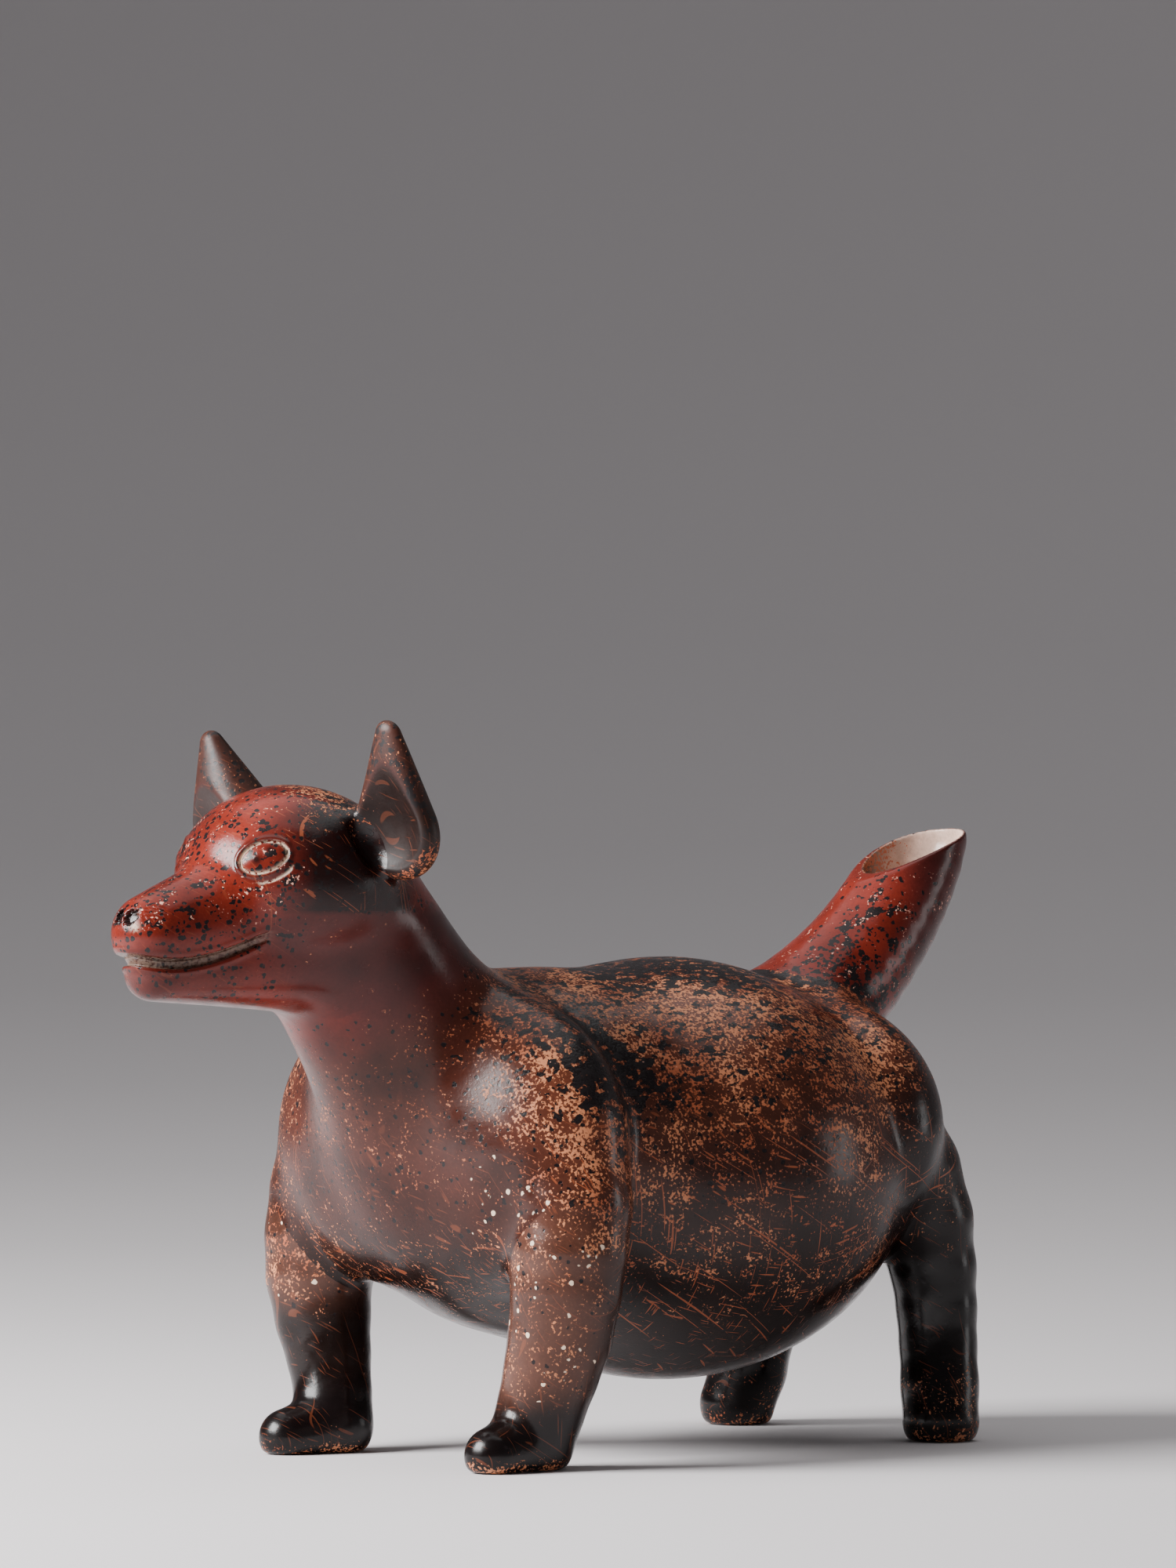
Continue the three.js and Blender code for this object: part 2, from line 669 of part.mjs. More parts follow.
const mirrored = (solid) => solid.mirror(toTheRight);
const ventHoles = [forelegLine, hindlegLine].map(ventSolid).flatMap((hole) => [hole, mirrored(hole)]);
const plugs = [neckPlug, spoutPlug, ...ventHoles];
const bodyOpen = plugs.reduce((shell, plug) => shell.subtract(plug), bodyShell());
const hindleg = legSolid(hindlegLine, hindlegs, skin);
const mirroredForeleg = legSolid(forelegLine, onOtherSide(rightForeleg), onOtherSide(skin));

place('belly_bowl', bodyOpen.intersect(slab(-wide, SPLIT - SLIP / 2)), BROWN);
place('back_shell', bodyOpen.intersect(slab(SPLIT + SLIP / 2, wide)), SPECKLED);
place('neck', neckTube, RED);
place('head', headShell(), RED);
place('left_ear', earSolid(LEFT_EAR, LEFT_CUP, -1), EAR_BROWN);
place('right_ear', earSolid(RIGHT_EAR, RIGHT_CUP, 1), EAR_BROWN);
place('front_left_leg', legSolid(forelegLine, leftForeleg, skin), DARK);
place('front_right_leg', mirrored(mirroredForeleg), DARK);
place('hind_left_leg', hindleg, DARK);
place('hind_right_leg', mirrored(hindleg), DARK);
place('tail_spout', spoutTube, RED);

// The part's origin is on the ground under the middle of its length
const extent = new THREE.Box3().setFromObject(dog);
dog.position.set(-(extent.min.x + extent.max.x) / 2, 0, 0);

export default dog;
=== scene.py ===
# A pottery dog that is a vessel: a hollow body on four short legs, with a spout for a tail.

import math

import bmesh
import bpy
import numpy as np
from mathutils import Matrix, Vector


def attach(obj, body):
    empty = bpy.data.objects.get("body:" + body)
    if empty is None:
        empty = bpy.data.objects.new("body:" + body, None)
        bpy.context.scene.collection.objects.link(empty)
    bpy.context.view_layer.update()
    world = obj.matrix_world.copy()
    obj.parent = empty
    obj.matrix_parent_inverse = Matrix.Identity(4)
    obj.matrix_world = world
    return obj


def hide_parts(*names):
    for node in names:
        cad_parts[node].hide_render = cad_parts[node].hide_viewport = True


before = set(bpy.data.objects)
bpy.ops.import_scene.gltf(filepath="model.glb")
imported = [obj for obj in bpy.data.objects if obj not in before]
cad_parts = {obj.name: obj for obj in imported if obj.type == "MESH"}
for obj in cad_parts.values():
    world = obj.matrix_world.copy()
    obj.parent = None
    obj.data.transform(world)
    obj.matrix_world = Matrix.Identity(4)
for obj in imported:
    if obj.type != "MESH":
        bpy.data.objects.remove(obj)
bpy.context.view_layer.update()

# Body
# A hollow pot of coiled clay, made in two halves that were luted together at half height.
# Its barrel, chest, shoulders and haunches are swellings of one wall that run into each other.
# The wall was slipped, burnished with a pebble and fired: speckled tan above, smoked brown below.

# Forms are fields in millimetres: about the distance from a point to the form, negative in the clay.
# They are set out from the middle of the feet, with the nose to -X and the dog's left to -Y.

BEHIND = 38.45  # how far the middle of the feet lies behind the part's origin
METRE = 1000.0
WALL = 7.0
SPOUT_WALL = 5.5
JOINT_COLLAR = 6.0  # how far the core swells out to meet the legs and spout
BARREL = dict(at=(16, 0, 106), half=(98, 92, 81))
FOREPART = dict(at=(-50, 0, 114), half=(78, 72, 70))
SHOULDER = dict(at=(-90, -30, 119), half=(36, 58, 55))
HAUNCH = dict(at=(76, -20, 121), half=(39, 61, 51))
BELLY_JOINT = 125.0  # height at which the two halves meet

# How softly one form runs into the next.
BARREL_BLEND = 20.0
SHOULDER_BLEND = 10.0
ROLL_BLEND = 6.0
PAW_BLEND = 8.0
FORELEG_BLEND = 14.0
HINDLEG_BLEND = 12.0
NECK_BLEND = 34.0
SPOUT_BLEND = 20.0
SPOUT_ROLL_BLEND = 2.0
SOLE_ROUNDING = 4.0


def swelling(at, half):
    """An egg of clay with three half lengths."""
    at, half = np.array(at, float), np.array(half, float)

    def field(p):
        q = p - at
        scaled = np.linalg.norm(q / half, axis=1)
        steep = np.linalg.norm(q / half**2, axis=1)
        return scaled * (scaled - 1) / np.maximum(steep, 1e-9)

    return field


def roll(start, end, start_radius, end_radius):
    """A tapered roll of clay with round ends."""
    start, end = np.array(start, float), np.array(end, float)
    axis = end - start
    long = axis @ axis
    taper = start_radius - end_radius
    slant = long - taper**2

    def field(p):
        q = p - start
        y = q @ axis
        z = y - long
        x2 = ((q * long - y[:, None] * axis) ** 2).sum(axis=1)
        y2 = y * y * long
        z2 = z * z * long
        limit = np.sign(taper) * taper**2 * x2
        side = (np.sqrt(x2 * slant / long) + y * taper) / long - start_radius
        before = np.sqrt(x2 + y2) / long - start_radius
        beyond = np.sqrt(x2 + z2) / long - end_radius
        side = np.where(np.sign(y) * slant * y2 < limit, before, side)
        return np.where(np.sign(z) * slant * z2 > limit, beyond, side)

    return field


def run_together(first, second, softness):
    """Two forms with the clay between them smoothed over."""

    def field(p):
        a, b = first(p), second(p)
        near = np.maximum(softness - np.abs(a - b), 0) / softness
        return np.minimum(a, b) - near**3 * softness / 6

    return field


def cut_away(form, tool, softness):
    """A form less a tool, with an edge as soft as a wet finger leaves it."""

    def field(p):
        a, b = form(p), -tool(p)
        near = np.maximum(softness - np.abs(a - b), 0) / softness
        return np.maximum(a, b) + near**3 * softness / 6

    return field


def paired(field):
    """A form of the dog's left side, on both its sides."""
    return lambda p: field(np.column_stack([p[:, 0], -np.abs(p[:, 1]), p[:, 2]]))


REACH = 30.0  # a limb is felt no further off than this
FAR_OFF = 99.0


def limb(line, softness):
    """Rolls of clay end to end, from points each with the radius there."""
    points = [at for at, radius in line]
    radii = [radius for at, radius in line]
    form = roll(points[0], points[1], radii[0], radii[1])
    for i in range(1, len(line) - 1):
        form = run_together(form, roll(points[i], points[i + 1], radii[i], radii[i + 1]), softness)
    around = max(radii) + REACH
    low = np.min(points, axis=0) - around
    high = np.max(points, axis=0) + around

    def field(p):
        close = ((p > low) & (p < high)).all(axis=1)
        value = np.full(len(p), FAR_OFF)
        value[close] = form(p[close])
        return value

    return field


body = run_together(swelling(**BARREL), swelling(**FOREPART), BARREL_BLEND)
body = run_together(body, paired(swelling(**SHOULDER)), SHOULDER_BLEND)
body = run_together(body, paired(swelling(**HAUNCH)), SHOULDER_BLEND)

# The body's skin runs out into what stands on it, so the forms of the legs, neck and spout come here.
# The right foreleg came out thinner below the knee than the left one.

FORELEG = [
    ((-92, -71, 96), 21.8), ((-94.3, -71.6, 81), 20.8), ((-95.6, -71, 66), 19.8), ((-96, -68.3, 50), 18.6),
    ((-96.6, -64, 36), 17.0), ((-98, -60, 23), 15.6), ((-100, -57, 12), 14.2),
]
RIGHT_RADII = (21.8, 20.8, 19.6, 17.6, 15.4, 14.0, 12.6)
RIGHT_FORELEG = [((x, -y, z), radius) for ((x, y, z), _), radius in zip(FORELEG, RIGHT_RADII)]
PAW = [((-100, -57, 9), 12.0), ((-121, -59.5, 6.5), 8.5)]
HINDLEG = [
    ((99, -50, 104), 20.5), ((107, -50.2, 85), 18.3), ((111.6, -50.4, 66), 16.2), ((113.4, -50.6, 50), 15.0),
    ((113.2, -51.6, 36), 14.5), ((111.4, -54.4, 22), 14.6), ((108.5, -58, 8), 15.0),
]
NECK = dict(start=(-97, 0, 136), end=(-149.5, 0, 206.5), start_radius=40, end_radius=34.6)
SPOUT = [((86, 0, 160), 26.0), ((131, 0, 197), 21.3), ((153, 0, 231), 18.6)]

paw = paired(limb(PAW, PAW_BLEND))
neck = roll(**NECK)


def bent(line, pieces=10):
    """The same line as one smooth bend, in so many short pieces."""
    known = np.array([[*at, radius] for at, radius in line])
    along = np.linspace(0, 1, len(line)) ** 0.85  # its middle point comes a little past half way
    bends = [np.polyfit(along, values, len(line) - 1) for values in known.T]
    drawn = [np.polyval(bend, np.linspace(0, 1, pieces + 1)) for bend in bends]
    return [((x, y, z), radius) for x, y, z, radius in np.column_stack(drawn)]


spout = limb(bent(SPOUT), SPOUT_ROLL_BLEND)
open_skin = body
for leg in (FORELEG, RIGHT_FORELEG):
    foreleg = run_together(limb(leg, ROLL_BLEND), paw, PAW_BLEND)
    open_skin = run_together(open_skin, foreleg, FORELEG_BLEND)
open_skin = run_together(open_skin, paired(limb(HINDLEG, ROLL_BLEND)), HINDLEG_BLEND)
open_skin = run_together(open_skin, neck, NECK_BLEND)
open_skin = run_together(open_skin, spout, SPOUT_BLEND)
core = run_together(body, neck, NECK_BLEND)  # what the legs and spout stand on


def smooth(start, stop, value):
    """0 before start, 1 past stop and an easy slope between, either way round."""
    t = np.clip((value - start) / (stop - start), 0, 1)
    return t * t * (3 - 2 * t)


SLOW_WAVES = 0.05  # depth in mm of waves about 50 mm long, as a thumb's long strokes leave
QUICK_WAVES = 0.012  # and of waves as long as a finger is wide


def finger_marks(p):
    """How far slow and quick waves of the potter's fingers lie below the form, and never above it."""
    x, y, z = p.T
    slow = np.sin(x / 8 + 1.7 * np.sin(z / 17)) + np.sin(z / 7 + 1.9 * np.sin(y / 14))
    slow += np.sin(y / 9 + x / 31)
    quick = np.sin(x / 2.7 + 2 * np.sin(z / 6)) + np.sin(z / 2.4 + 2 * np.sin(x / 5 + y / 7))
    return SLOW_WAVES * (3 - slow) + QUICK_WAVES * (2 - quick)


def worked(form):
    """A form as the hands left it, on soles pressed flat on a board."""
    return cut_away(lambda p: form(p) + finger_marks(p), lambda p: p[:, 2], SOLE_ROUNDING)


body_skin = worked(open_skin)


def grid_points(low, counts, step):
    """The points of a grid from its lowest corner, so many each way."""
    axes = [low[i] + step * np.arange(counts[i]) for i in range(3)]
    return np.stack(np.meshgrid(*axes, indexing="ij"), axis=-1).reshape(-1, 3)


def values_near_skin(field, low, high, step, across=4):
    """A field on a grid, read point by point only in the blocks that its skin may pass through."""
    low = np.array(low, float)
    block = step * across
    counts = np.ceil((np.array(high, float) - low) / block).astype(int)
    rough = field(grid_points(low + (block - step) / 2, counts, block)).reshape(counts)
    near = np.argwhere(np.abs(rough) < 1.25 * block)  # a block's half diagonal is 0.87 of its side
    every_point = np.ravel(np.column_stack([counts, [across] * 3]))
    values = np.broadcast_to(rough[:, None, :, None, :, None], every_point).copy()
    inside_block = grid_points((0, 0, 0), (across,) * 3, step)
    points = (low + near * block)[:, None, :] + inside_block
    read = field(points.reshape(-1, 3)).reshape(-1, across, across, across)
    values[near[:, 0], :, near[:, 1], :, near[:, 2], :] = read
    values = values.reshape(counts * across)
    for axis in range(3):
        edge = np.moveaxis(values, axis, 0)
        edge[0], edge[-1] = step, step
    return low, values


def skin_net(low, values, step):
    """A net of squares over the skin in a grid of values, with a knot in each cell that it crosses."""
    clay = values < 0
    n = np.array(clay.shape) - 1
    corners = [(i, j, k) for i in (0, 1) for j in (0, 1) for k in (0, 1)]
    filled = sum(clay[i : n[0] + i, j : n[1] + j, k : n[2] + k].astype(np.int8) for i, j, k in corners)
    cells = np.argwhere((filled > 0) & (filled < 8))
    at = {c: values[cells[:, 0] + c[0], cells[:, 1] + c[1], cells[:, 2] + c[2]] for c in corners}
    knots, crossings = np.zeros(cells.shape), np.zeros(len(cells))
    for axis in range(3):
        for corner in corners:
            if corner[axis]:
                continue
            far = tuple(c + (i == axis) for i, c in enumerate(corner))
            a, b = at[corner], at[far]
            crosses = (a < 0) != (b < 0)
            share = np.where(crosses, a / np.where(crosses, a - b, 1), 0)
            knots += np.outer(crosses, corner)
            knots[:, axis] += share
            crossings += crosses
    points = low + step * (cells + knots / crossings[:, None])
    number = np.full(n, -1)
    number[tuple(cells.T)] = np.arange(len(cells))
    faces = []
    for axis in range(3):
        ahead, beside = np.eye(3, dtype=int)[[(axis + 1) % 3, (axis + 2) % 3]]
        lower = clay.take(range(n[axis]), axis)
        upper = clay.take(range(1, n[axis] + 1), axis)
        edges = np.argwhere(lower != upper)
        around = [edges - ahead - beside, edges - beside, edges, edges - ahead]
        squares = np.stack([number[tuple(cell.T)] for cell in around], axis=1)
        outward = lower[tuple(edges.T)]
        squares[~outward] = squares[~outward, ::-1]
        faces.append(squares)
    return points, np.concatenate(faces)


NUDGE = 0.02
NUDGES = NUDGE * np.eye(3)  # one along each axis


def settled(points, field, furthest, times=2):
    """Points moved on to a field's skin, each by no more than furthest a time."""
    for _ in range(times):
        here = field(points)
        slope = np.column_stack([(field(points + nudge) - here) / NUDGE for nudge in NUDGES])
        move = -slope * (here / np.maximum((slope**2).sum(axis=1), 1e-6))[:, None]
        length = np.linalg.norm(move, axis=1)[:, None]
        points = points + move * np.minimum(1, furthest / np.maximum(length, 1e-9))
    return points


def formed(field, low, high, step, fine=()):
    """Points and faces of a field's skin in a box. Each test in fine halves the net where it holds."""
    low, values = values_near_skin(field, low, high, step)
    points, faces = skin_net(low, values, step)
    points = settled(points, field, step / 2)
    faces = faces.tolist()
    for test in fine:
        net = bmesh.new()
        knots = [net.verts.new(p) for p in points]
        for face in faces:
            net.faces.new([knots[i] for i in face])
        inside = test(points)
        net.verts.index_update()
        edges = [e for e in net.edges if inside[e.verts[0].index] and inside[e.verts[1].index]]
        bmesh.ops.subdivide_edges(net, edges=edges, cuts=1, use_grid_fill=True)
        net.verts.index_update()
        points = np.array([v.co for v in net.verts])
        faces = [[v.index for v in face.verts] for face in net.faces]
        net.free()
        step = step / 2
        inside = test(points)
        points[inside] = settled(points[inside], field, step)
    return points, faces


def as_object(name, points, faces):
    """An object in the part's frame and in metres, from points in millimetres from the feet."""
    mesh = bpy.data.meshes.new(name)
    mesh.from_pydata(((points + [BEHIND, 0, 0]) / METRE).tolist(), [], [list(face) for face in faces])
    made = bpy.data.objects.new(name, mesh)
    bpy.context.scene.collection.objects.link(made)
    return made


def tool_of(name, field, low, high, step):
    """A form that only cuts others."""
    tool = as_object(name, *formed(field, low, high, step))
    tool.hide_render = True
    return tool


def trimmed(piece, *cuts):
    """Cuts a piece with others, each as (operation, tool), and keeps the result as its mesh."""
    for operation, tool in cuts:
        cut = piece.modifiers.new(tool.name, "BOOLEAN")
        cut.operation, cut.object, cut.solver = operation, tool, "MANIFOLD"
    bpy.context.view_layer.update()
    done = bpy.data.meshes.new_from_object(piece.evaluated_get(bpy.context.evaluated_depsgraph_get()))
    piece.modifiers.clear()
    piece.data = done
    done.name = piece.name
    return piece


def points_of(mesh):
    """A mesh's points in millimetres from the feet."""
    flat = np.empty(len(mesh.vertices) * 3)
    mesh.vertices.foreach_get("co", flat)
    return flat.reshape(-1, 3) * METRE - [BEHIND, 0, 0]


ON_SKIN = 0.03  # a point no further from the skin than this lies on it


def burnished(piece, field):
    """Smooth all over, with the normals of the dog's whole skin, so that no joint shows."""
    mesh = piece.data
    mesh.shade_smooth()
    points = points_of(mesh)
    slope = [(field(points + nudge) - field(points - nudge)) / (2 * NUDGE) for nudge in NUDGES]
    slope = np.column_stack(slope)
    normals = slope / np.maximum(np.linalg.norm(slope, axis=1), 1e-9)[:, None]
    normals[np.abs(field(points)) > ON_SKIN] = 0
    mesh.normals_split_custom_set_from_vertices(normals.tolist())


def fired(r, g, b):
    """A slip's colour as seen on the fired pot, 0 to 255, in the shader's measure."""
    share = np.array([r, g, b]) / 255
    return np.where(share <= 0.04045, share / 12.92, ((share + 0.055) / 1.055) ** 2.4)


def laid(under, over, share):
    """One colour laid over another, point by point as thickly as share says."""
    under, over = np.atleast_2d(under), np.atleast_2d(over)
    return under + (over - under) * share[:, None]


def slipped(piece, material, slip):
    """Writes a slip's colour and amounts of wear on a piece, point by point, and gives it the material."""
    mesh = piece.data
    for name, values in slip(points_of(mesh)).items():
        if name == "ground":
            layer = mesh.attributes.new(name, "FLOAT_COLOR", "POINT")
            layer.data.foreach_set("color", np.column_stack([values, np.ones(len(values))]).ravel())
        else:
            layer = mesh.attributes.new(name, "FLOAT", "POINT")
            layer.data.foreach_set("value", np.ascontiguousarray(values, dtype=float))
    mesh.materials.clear()
    mesh.materials.append(material)


# Under the burnished skin the clay is tan and orange. Soot, chalk and rubbing lie over it.
TAN = (*fired(194, 124, 86), 1)
ORANGE = (*fired(156, 82, 52), 1)
SOOT = (*fired(24, 18, 19), 1)
CHALK = (*fired(226, 202, 178), 1)
BLUSH = (*fired(216, 158, 138), 1)
SHEEN = 0.29  # burnished slip reflects about half as much as glaze


def burnished_slip(name, polish):
    """Slip rubbed with a pebble, then worn. The piece says where and how much. The grain is made here."""
    material = bpy.data.materials.new(name)
    material.use_nodes = True
    tree = material.node_tree
    shader = tree.nodes["Principled BSDF"]
    shader.inputs["Specular IOR Level"].default_value = SHEEN

    def node(kind, inputs, output=0, **settings):
        made = tree.nodes.new("ShaderNode" + kind)
        for key, value in settings.items():
            setattr(made, key, value)
        for key, value in inputs.items():
            if isinstance(value, bpy.types.NodeSocket):
                tree.links.new(value, made.inputs[key])
            else:
                made.inputs[key].default_value = value
        return made.outputs[output]

    def worn(kind):
        return node("Attribute", {}, 2, attribute_name=kind)

    def times(a, b):
        return node("Math", {0: a, 1: b}, operation="MULTIPLY")

    def plus(a, b, share=1.0):
        return node("Math", {0: b, 1: share, 2: a}, operation="MULTIPLY_ADD")

    def rise(value, start, stop):
        limits = {"Value": value, "From Min": start, "From Max": stop}
        return node("MapRange", limits, interpolation_type="SMOOTHSTEP")

    def spread(value, least, most):
        """A noise, which lies between 0.3 and 0.7 nearly everywhere, drawn out from least to most."""
        limits = {"Value": value, "From Min": 0.3, "From Max": 0.7, "To Min": least, "To Max": most}
        return node("MapRange", limits)

    def larger(a, b):
        return node("Math", {0: a, 1: b}, operation="MAXIMUM")

    def over(share, under, top):
        return node("Mix", {0: share, 6: under, 7: top}, 2, data_type="RGBA")

    place = node("TexCoord", {}, 3)

    def grain(scale, detail=2.0, where=place, output=0):
        return node("TexNoise", {"Vector": where, "Scale": scale, "Detail": detail}, output)

    stir = (0.0016,) * 3
    ragged = node("VectorMath", {0: grain(420, 1.0, output=1), 1: stir, 2: place}, operation="MULTIPLY_ADD")

    def dots(cells, amount, least, most):
        """Specks in some of the cells of a honeycomb, as many as amount says and of mixed sizes."""
        far = node("TexVoronoi", {"Vector": ragged, "Scale": cells})
        lot = node("SeparateColor", {0: far.node.outputs["Color"]})
        size = lot.node.outputs[1]
        chosen = node("Math", {0: lot, 1: amount}, operation="LESS_THAN")
        shrunk = plus(far, size, least - most)
        return times(chosen, rise(shrunk, least + 0.05, least - 0.05))

    def strokes(turn):
        """Thin scratches where the skin cuts through noise drawn out into sheets."""
        drawn_out = {"Vector": place, "Rotation": turn, "Scale": (90.0, 14.0, 1.0)}
        sheets = grain(1500, 0.0, node("Mapping", drawn_out, vector_type="TEXTURE"))
        return rise(sheets, 0.745, 0.785)

    # The grain of the slip: drifts of 26 mm, clumps of 5 mm that lie lengthwise, and specks of 1 mm.
    broad = grain(38, 3.0)
    clumps = grain(190, 2.0, node("Mapping", {"Vector": place, "Scale": (0.65, 1, 1)}))
    fine = grain(900, 2.0)
    patchy = plus(times(fine, 0.6), clumps, 0.4)

    # A web of bare clay where the slip has worn off the high grains, and black blots and flecks on it.
    web_height = plus(plus(plus(times(clumps, 0.35), fine, 0.65), broad, 0.1), worn("web"), 0.36)
    web = rise(web_height, 0.715, 0.79)
    flecks = dots(430, worn("flecks"), 0.12, 0.46)
    blots = grain(330, 3.0, node("Mapping", {"Vector": ragged, "Scale": (0.7, 1, 1)}))
    blotted = plus(plus(plus(times(blots, 0.7), clumps, 0.3), broad, -0.15), worn("spots"), 0.36)
    spots = rise(blotted, 0.62, 0.65)

    # What use and burial left: scratches in three directions, scuffs, chalk spots and cream in the lines.
    crossed = larger(strokes((0.2, 0.5, 0.1)), strokes((0.9, -0.7, 0.4)))
    scratches = times(worn("scratches"), larger(crossed, strokes((-0.5, 1.3, -0.3))))
    scuffs = rise(plus(patchy, worn("scuffs"), 0.22), 0.7, 0.76)
    chalk = dots(380, worn("chalk"), 0.1, 0.42)
    deposit = times(worn("deposit"), rise(patchy, 0.4, 0.52))

    ground = node("Attribute", {}, 0, attribute_name="ground")
    uneven = times(spread(broad, 0.5, 1.26), spread(fine, 0.9, 1.12))
    colour = node("VectorMath", {0: ground, "Scale": uneven}, operation="SCALE")
    colour = over(web, colour, over(rise(broad, 0.4, 0.62), ORANGE, TAN))
    colour = over(scratches, colour, ORANGE)
    colour = over(spots, colour, SOOT)
    colour = over(flecks, colour, SOOT)
    colour = over(scuffs, colour, BLUSH)
    colour = over(chalk, colour, CHALK)
    colour = over(deposit, colour, CHALK)
    tree.links.new(colour, shader.inputs["Base Color"])

    dull = plus(plus(times(web, 0.12), scuffs, 0.15), deposit, 0.4)
    rubbed = spread(clumps, polish - 0.05, polish + 0.07)
    tree.links.new(plus(dull, rubbed), shader.inputs["Roughness"])
    relief = plus(plus(plus(times(fine, 0.5), web, 0.35), flecks, -0.4), scratches, -0.5)
    height = plus(plus(relief, deposit, 0.6), chalk, 0.5)
    bump = node("Bump", {"Strength": 0.35, "Distance": 0.0002, "Height": height})
    tree.links.new(bump, shader.inputs["Normal"])
    return material


CHEST_RED = fired(66, 28, 21)
FLANK_BROWN = fired(54, 31, 25)
BELLY_BROWN = fired(26, 14, 11)
# Smoke black on haunches, feet and crown; the same black is also painted shade round the eyes, in the
# nostrils and deep in the spout.
SMOKE_AND_SHADE_BLACK = fired(15, 9, 9)
RUST = fired(92, 48, 33)


def pot_slip(p):
    """Red on the chest, rust with a tan web above, brown on the flanks, black on haunches and belly."""
    x, y, z = p.T
    shoulder = smooth(-45, -85, x)
    chest = smooth(-100, -126, x)
    haunch = smooth(48, 84, x) * smooth(160, 126, z)
    tan_from = 128 - 26 * shoulder
    above = smooth(tan_from - 34, tan_from + 42, z) * (1 - 0.75 * chest)
    speckle = 0.3 * smooth(30, 80, z) * (1 - 0.6 * chest)
    ground = laid(CHEST_RED, FLANK_BROWN, smooth(172, 128, z) * (1 - 0.7 * chest))
    ground = laid(ground, BELLY_BROWN, smooth(118, 58, z))
    ground = laid(ground, RUST, 0.8 * above)
    ground = laid(ground, SMOKE_AND_SHADE_BLACK, 0.92 * haunch)
    on_shoulder = np.exp(-((x + 76) / 42) ** 2 - ((z - 148) / 34) ** 2) * smooth(20, 45, np.abs(y))
    on_top = smooth(158, 182, z) * smooth(-70, -30, x)
    fore = smooth(-96, -108, x) * smooth(-40, -56, y) * smooth(70, 80, z) * smooth(118, 104, z)
    return dict(
        ground=ground,
        web=(speckle + (0.52 - speckle) * above) * (1 - 0.55 * haunch),
        flecks=0.3 * (1 - 0.6 * smooth(120, 60, z)),
        spots=np.maximum(0.46 * above, np.maximum(0.88 * on_shoulder, 0.74 * on_top)),
        scratches=0.75 * smooth(150, 110, z) * (1 - 0.8 * chest),
        chalk=0.22 * fore,
    )


def settle_in(piece, slot, *nodes):
    """Puts a piece in the place of its CAD nodes."""
    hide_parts(*nodes)
    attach(piece, "root")


def hollow(p):
    """The space inside body, neck and spout."""
    return np.minimum(np.minimum(body(p) + WALL, neck(p) + WALL), spout(p) + SPOUT_WALL)


NECK_SPAN = (30.0, 62.0)  # the neck's two joints, so far up its axis
WIDE = 400.0  # further than the dog reaches
neck_axis = np.subtract(NECK["end"], NECK["start"])
neck_axis = neck_axis / np.linalg.norm(neck_axis)


def box_of_clay(name, corners):
    """A block that only cuts, from its four lower and its four upper corners."""
    faces = [(3, 2, 1, 0), (4, 5, 6, 7), (0, 1, 5, 4), (1, 2, 6, 5), (2, 3, 7, 6), (3, 0, 4, 7)]
    box = as_object(name, np.array(corners, float), faces)
    box.hide_render = True
    return box


def neck_block(name, start, stop):
    """A block square to the neck's axis, from one height up it to another."""
    side = np.array([0, 1, 0])
    upward = np.cross(neck_axis, side)
    ring = ((-1, -1), (1, -1), (1, 1), (-1, 1))
    ways = [WIDE * (side * a + upward * b) for a, b in ring]
    return box_of_clay(name, [NECK["start"] + neck_axis * t + way for t in (start, stop) for way in ways])


def slab(name, low, high):
    """A level block from one height to another."""
    ring = ((-WIDE, -WIDE), (WIDE, -WIDE), (WIDE, WIDE), (-WIDE, WIDE))
    return box_of_clay(name, [(x, y, z) for z in (low, high) for x, y in ring])


# Each form is netted in a box round it, with a step in mm that suits its finest detail.
POT_BOX = ((-150, -100, 15), (130, 100, 200))
CORE_BOX = ((-170, -110, 5), (130, 110, 240))
HOLLOW_BOX = ((-175, -95, 20), (185, 95, 260))
POT_STEP, CORE_STEP, HOLLOW_STEP = 1.7, 2.0, 2.5

core_tool = tool_of("core_tool", lambda p: core(p) - JOINT_COLLAR, *CORE_BOX, CORE_STEP)
hollow_tool = tool_of("hollow_tool", hollow, *HOLLOW_BOX, HOLLOW_STEP)
past_the_neck = neck_block("past_the_neck", NECK_SPAN[0], WIDE)
brown_slip = burnished_slip("smoked_brown_slip", 0.22)
speckled_slip = burnished_slip("speckled_tan_slip", 0.25)
pot = formed(body_skin, *POT_BOX, POT_STEP)
for name, node, low, high, slot, slip_material in (
    ("belly", "belly_bowl", -100, BELLY_JOINT, "brown_slip", brown_slip),
    ("back", "back_shell", BELLY_JOINT, 500, "speckled_slip", speckled_slip),
):
    half = slab(name + "_slab", low, high)
    piece = trimmed(
        as_object(name, *pot),
        ("INTERSECT", core_tool),
        ("DIFFERENCE", past_the_neck),
        ("DIFFERENCE", hollow_tool),
        ("INTERSECT", half),
    )
    burnished(piece, body_skin)
    slipped(piece, slip_material, pot_slip)
    settle_in(piece, slot, node)
    bpy.data.objects.remove(half)

# Legs
# Four short legs of rolled clay, hollow on the pot but netted solid here, luted on to the belly with a
# collar of wet clay.
# The forelegs end in paws that point forward; the hind ones are plain stumps, smoked black.

LEG_BROWN = fired(84, 52, 41)
LEG_STEP = 1.2


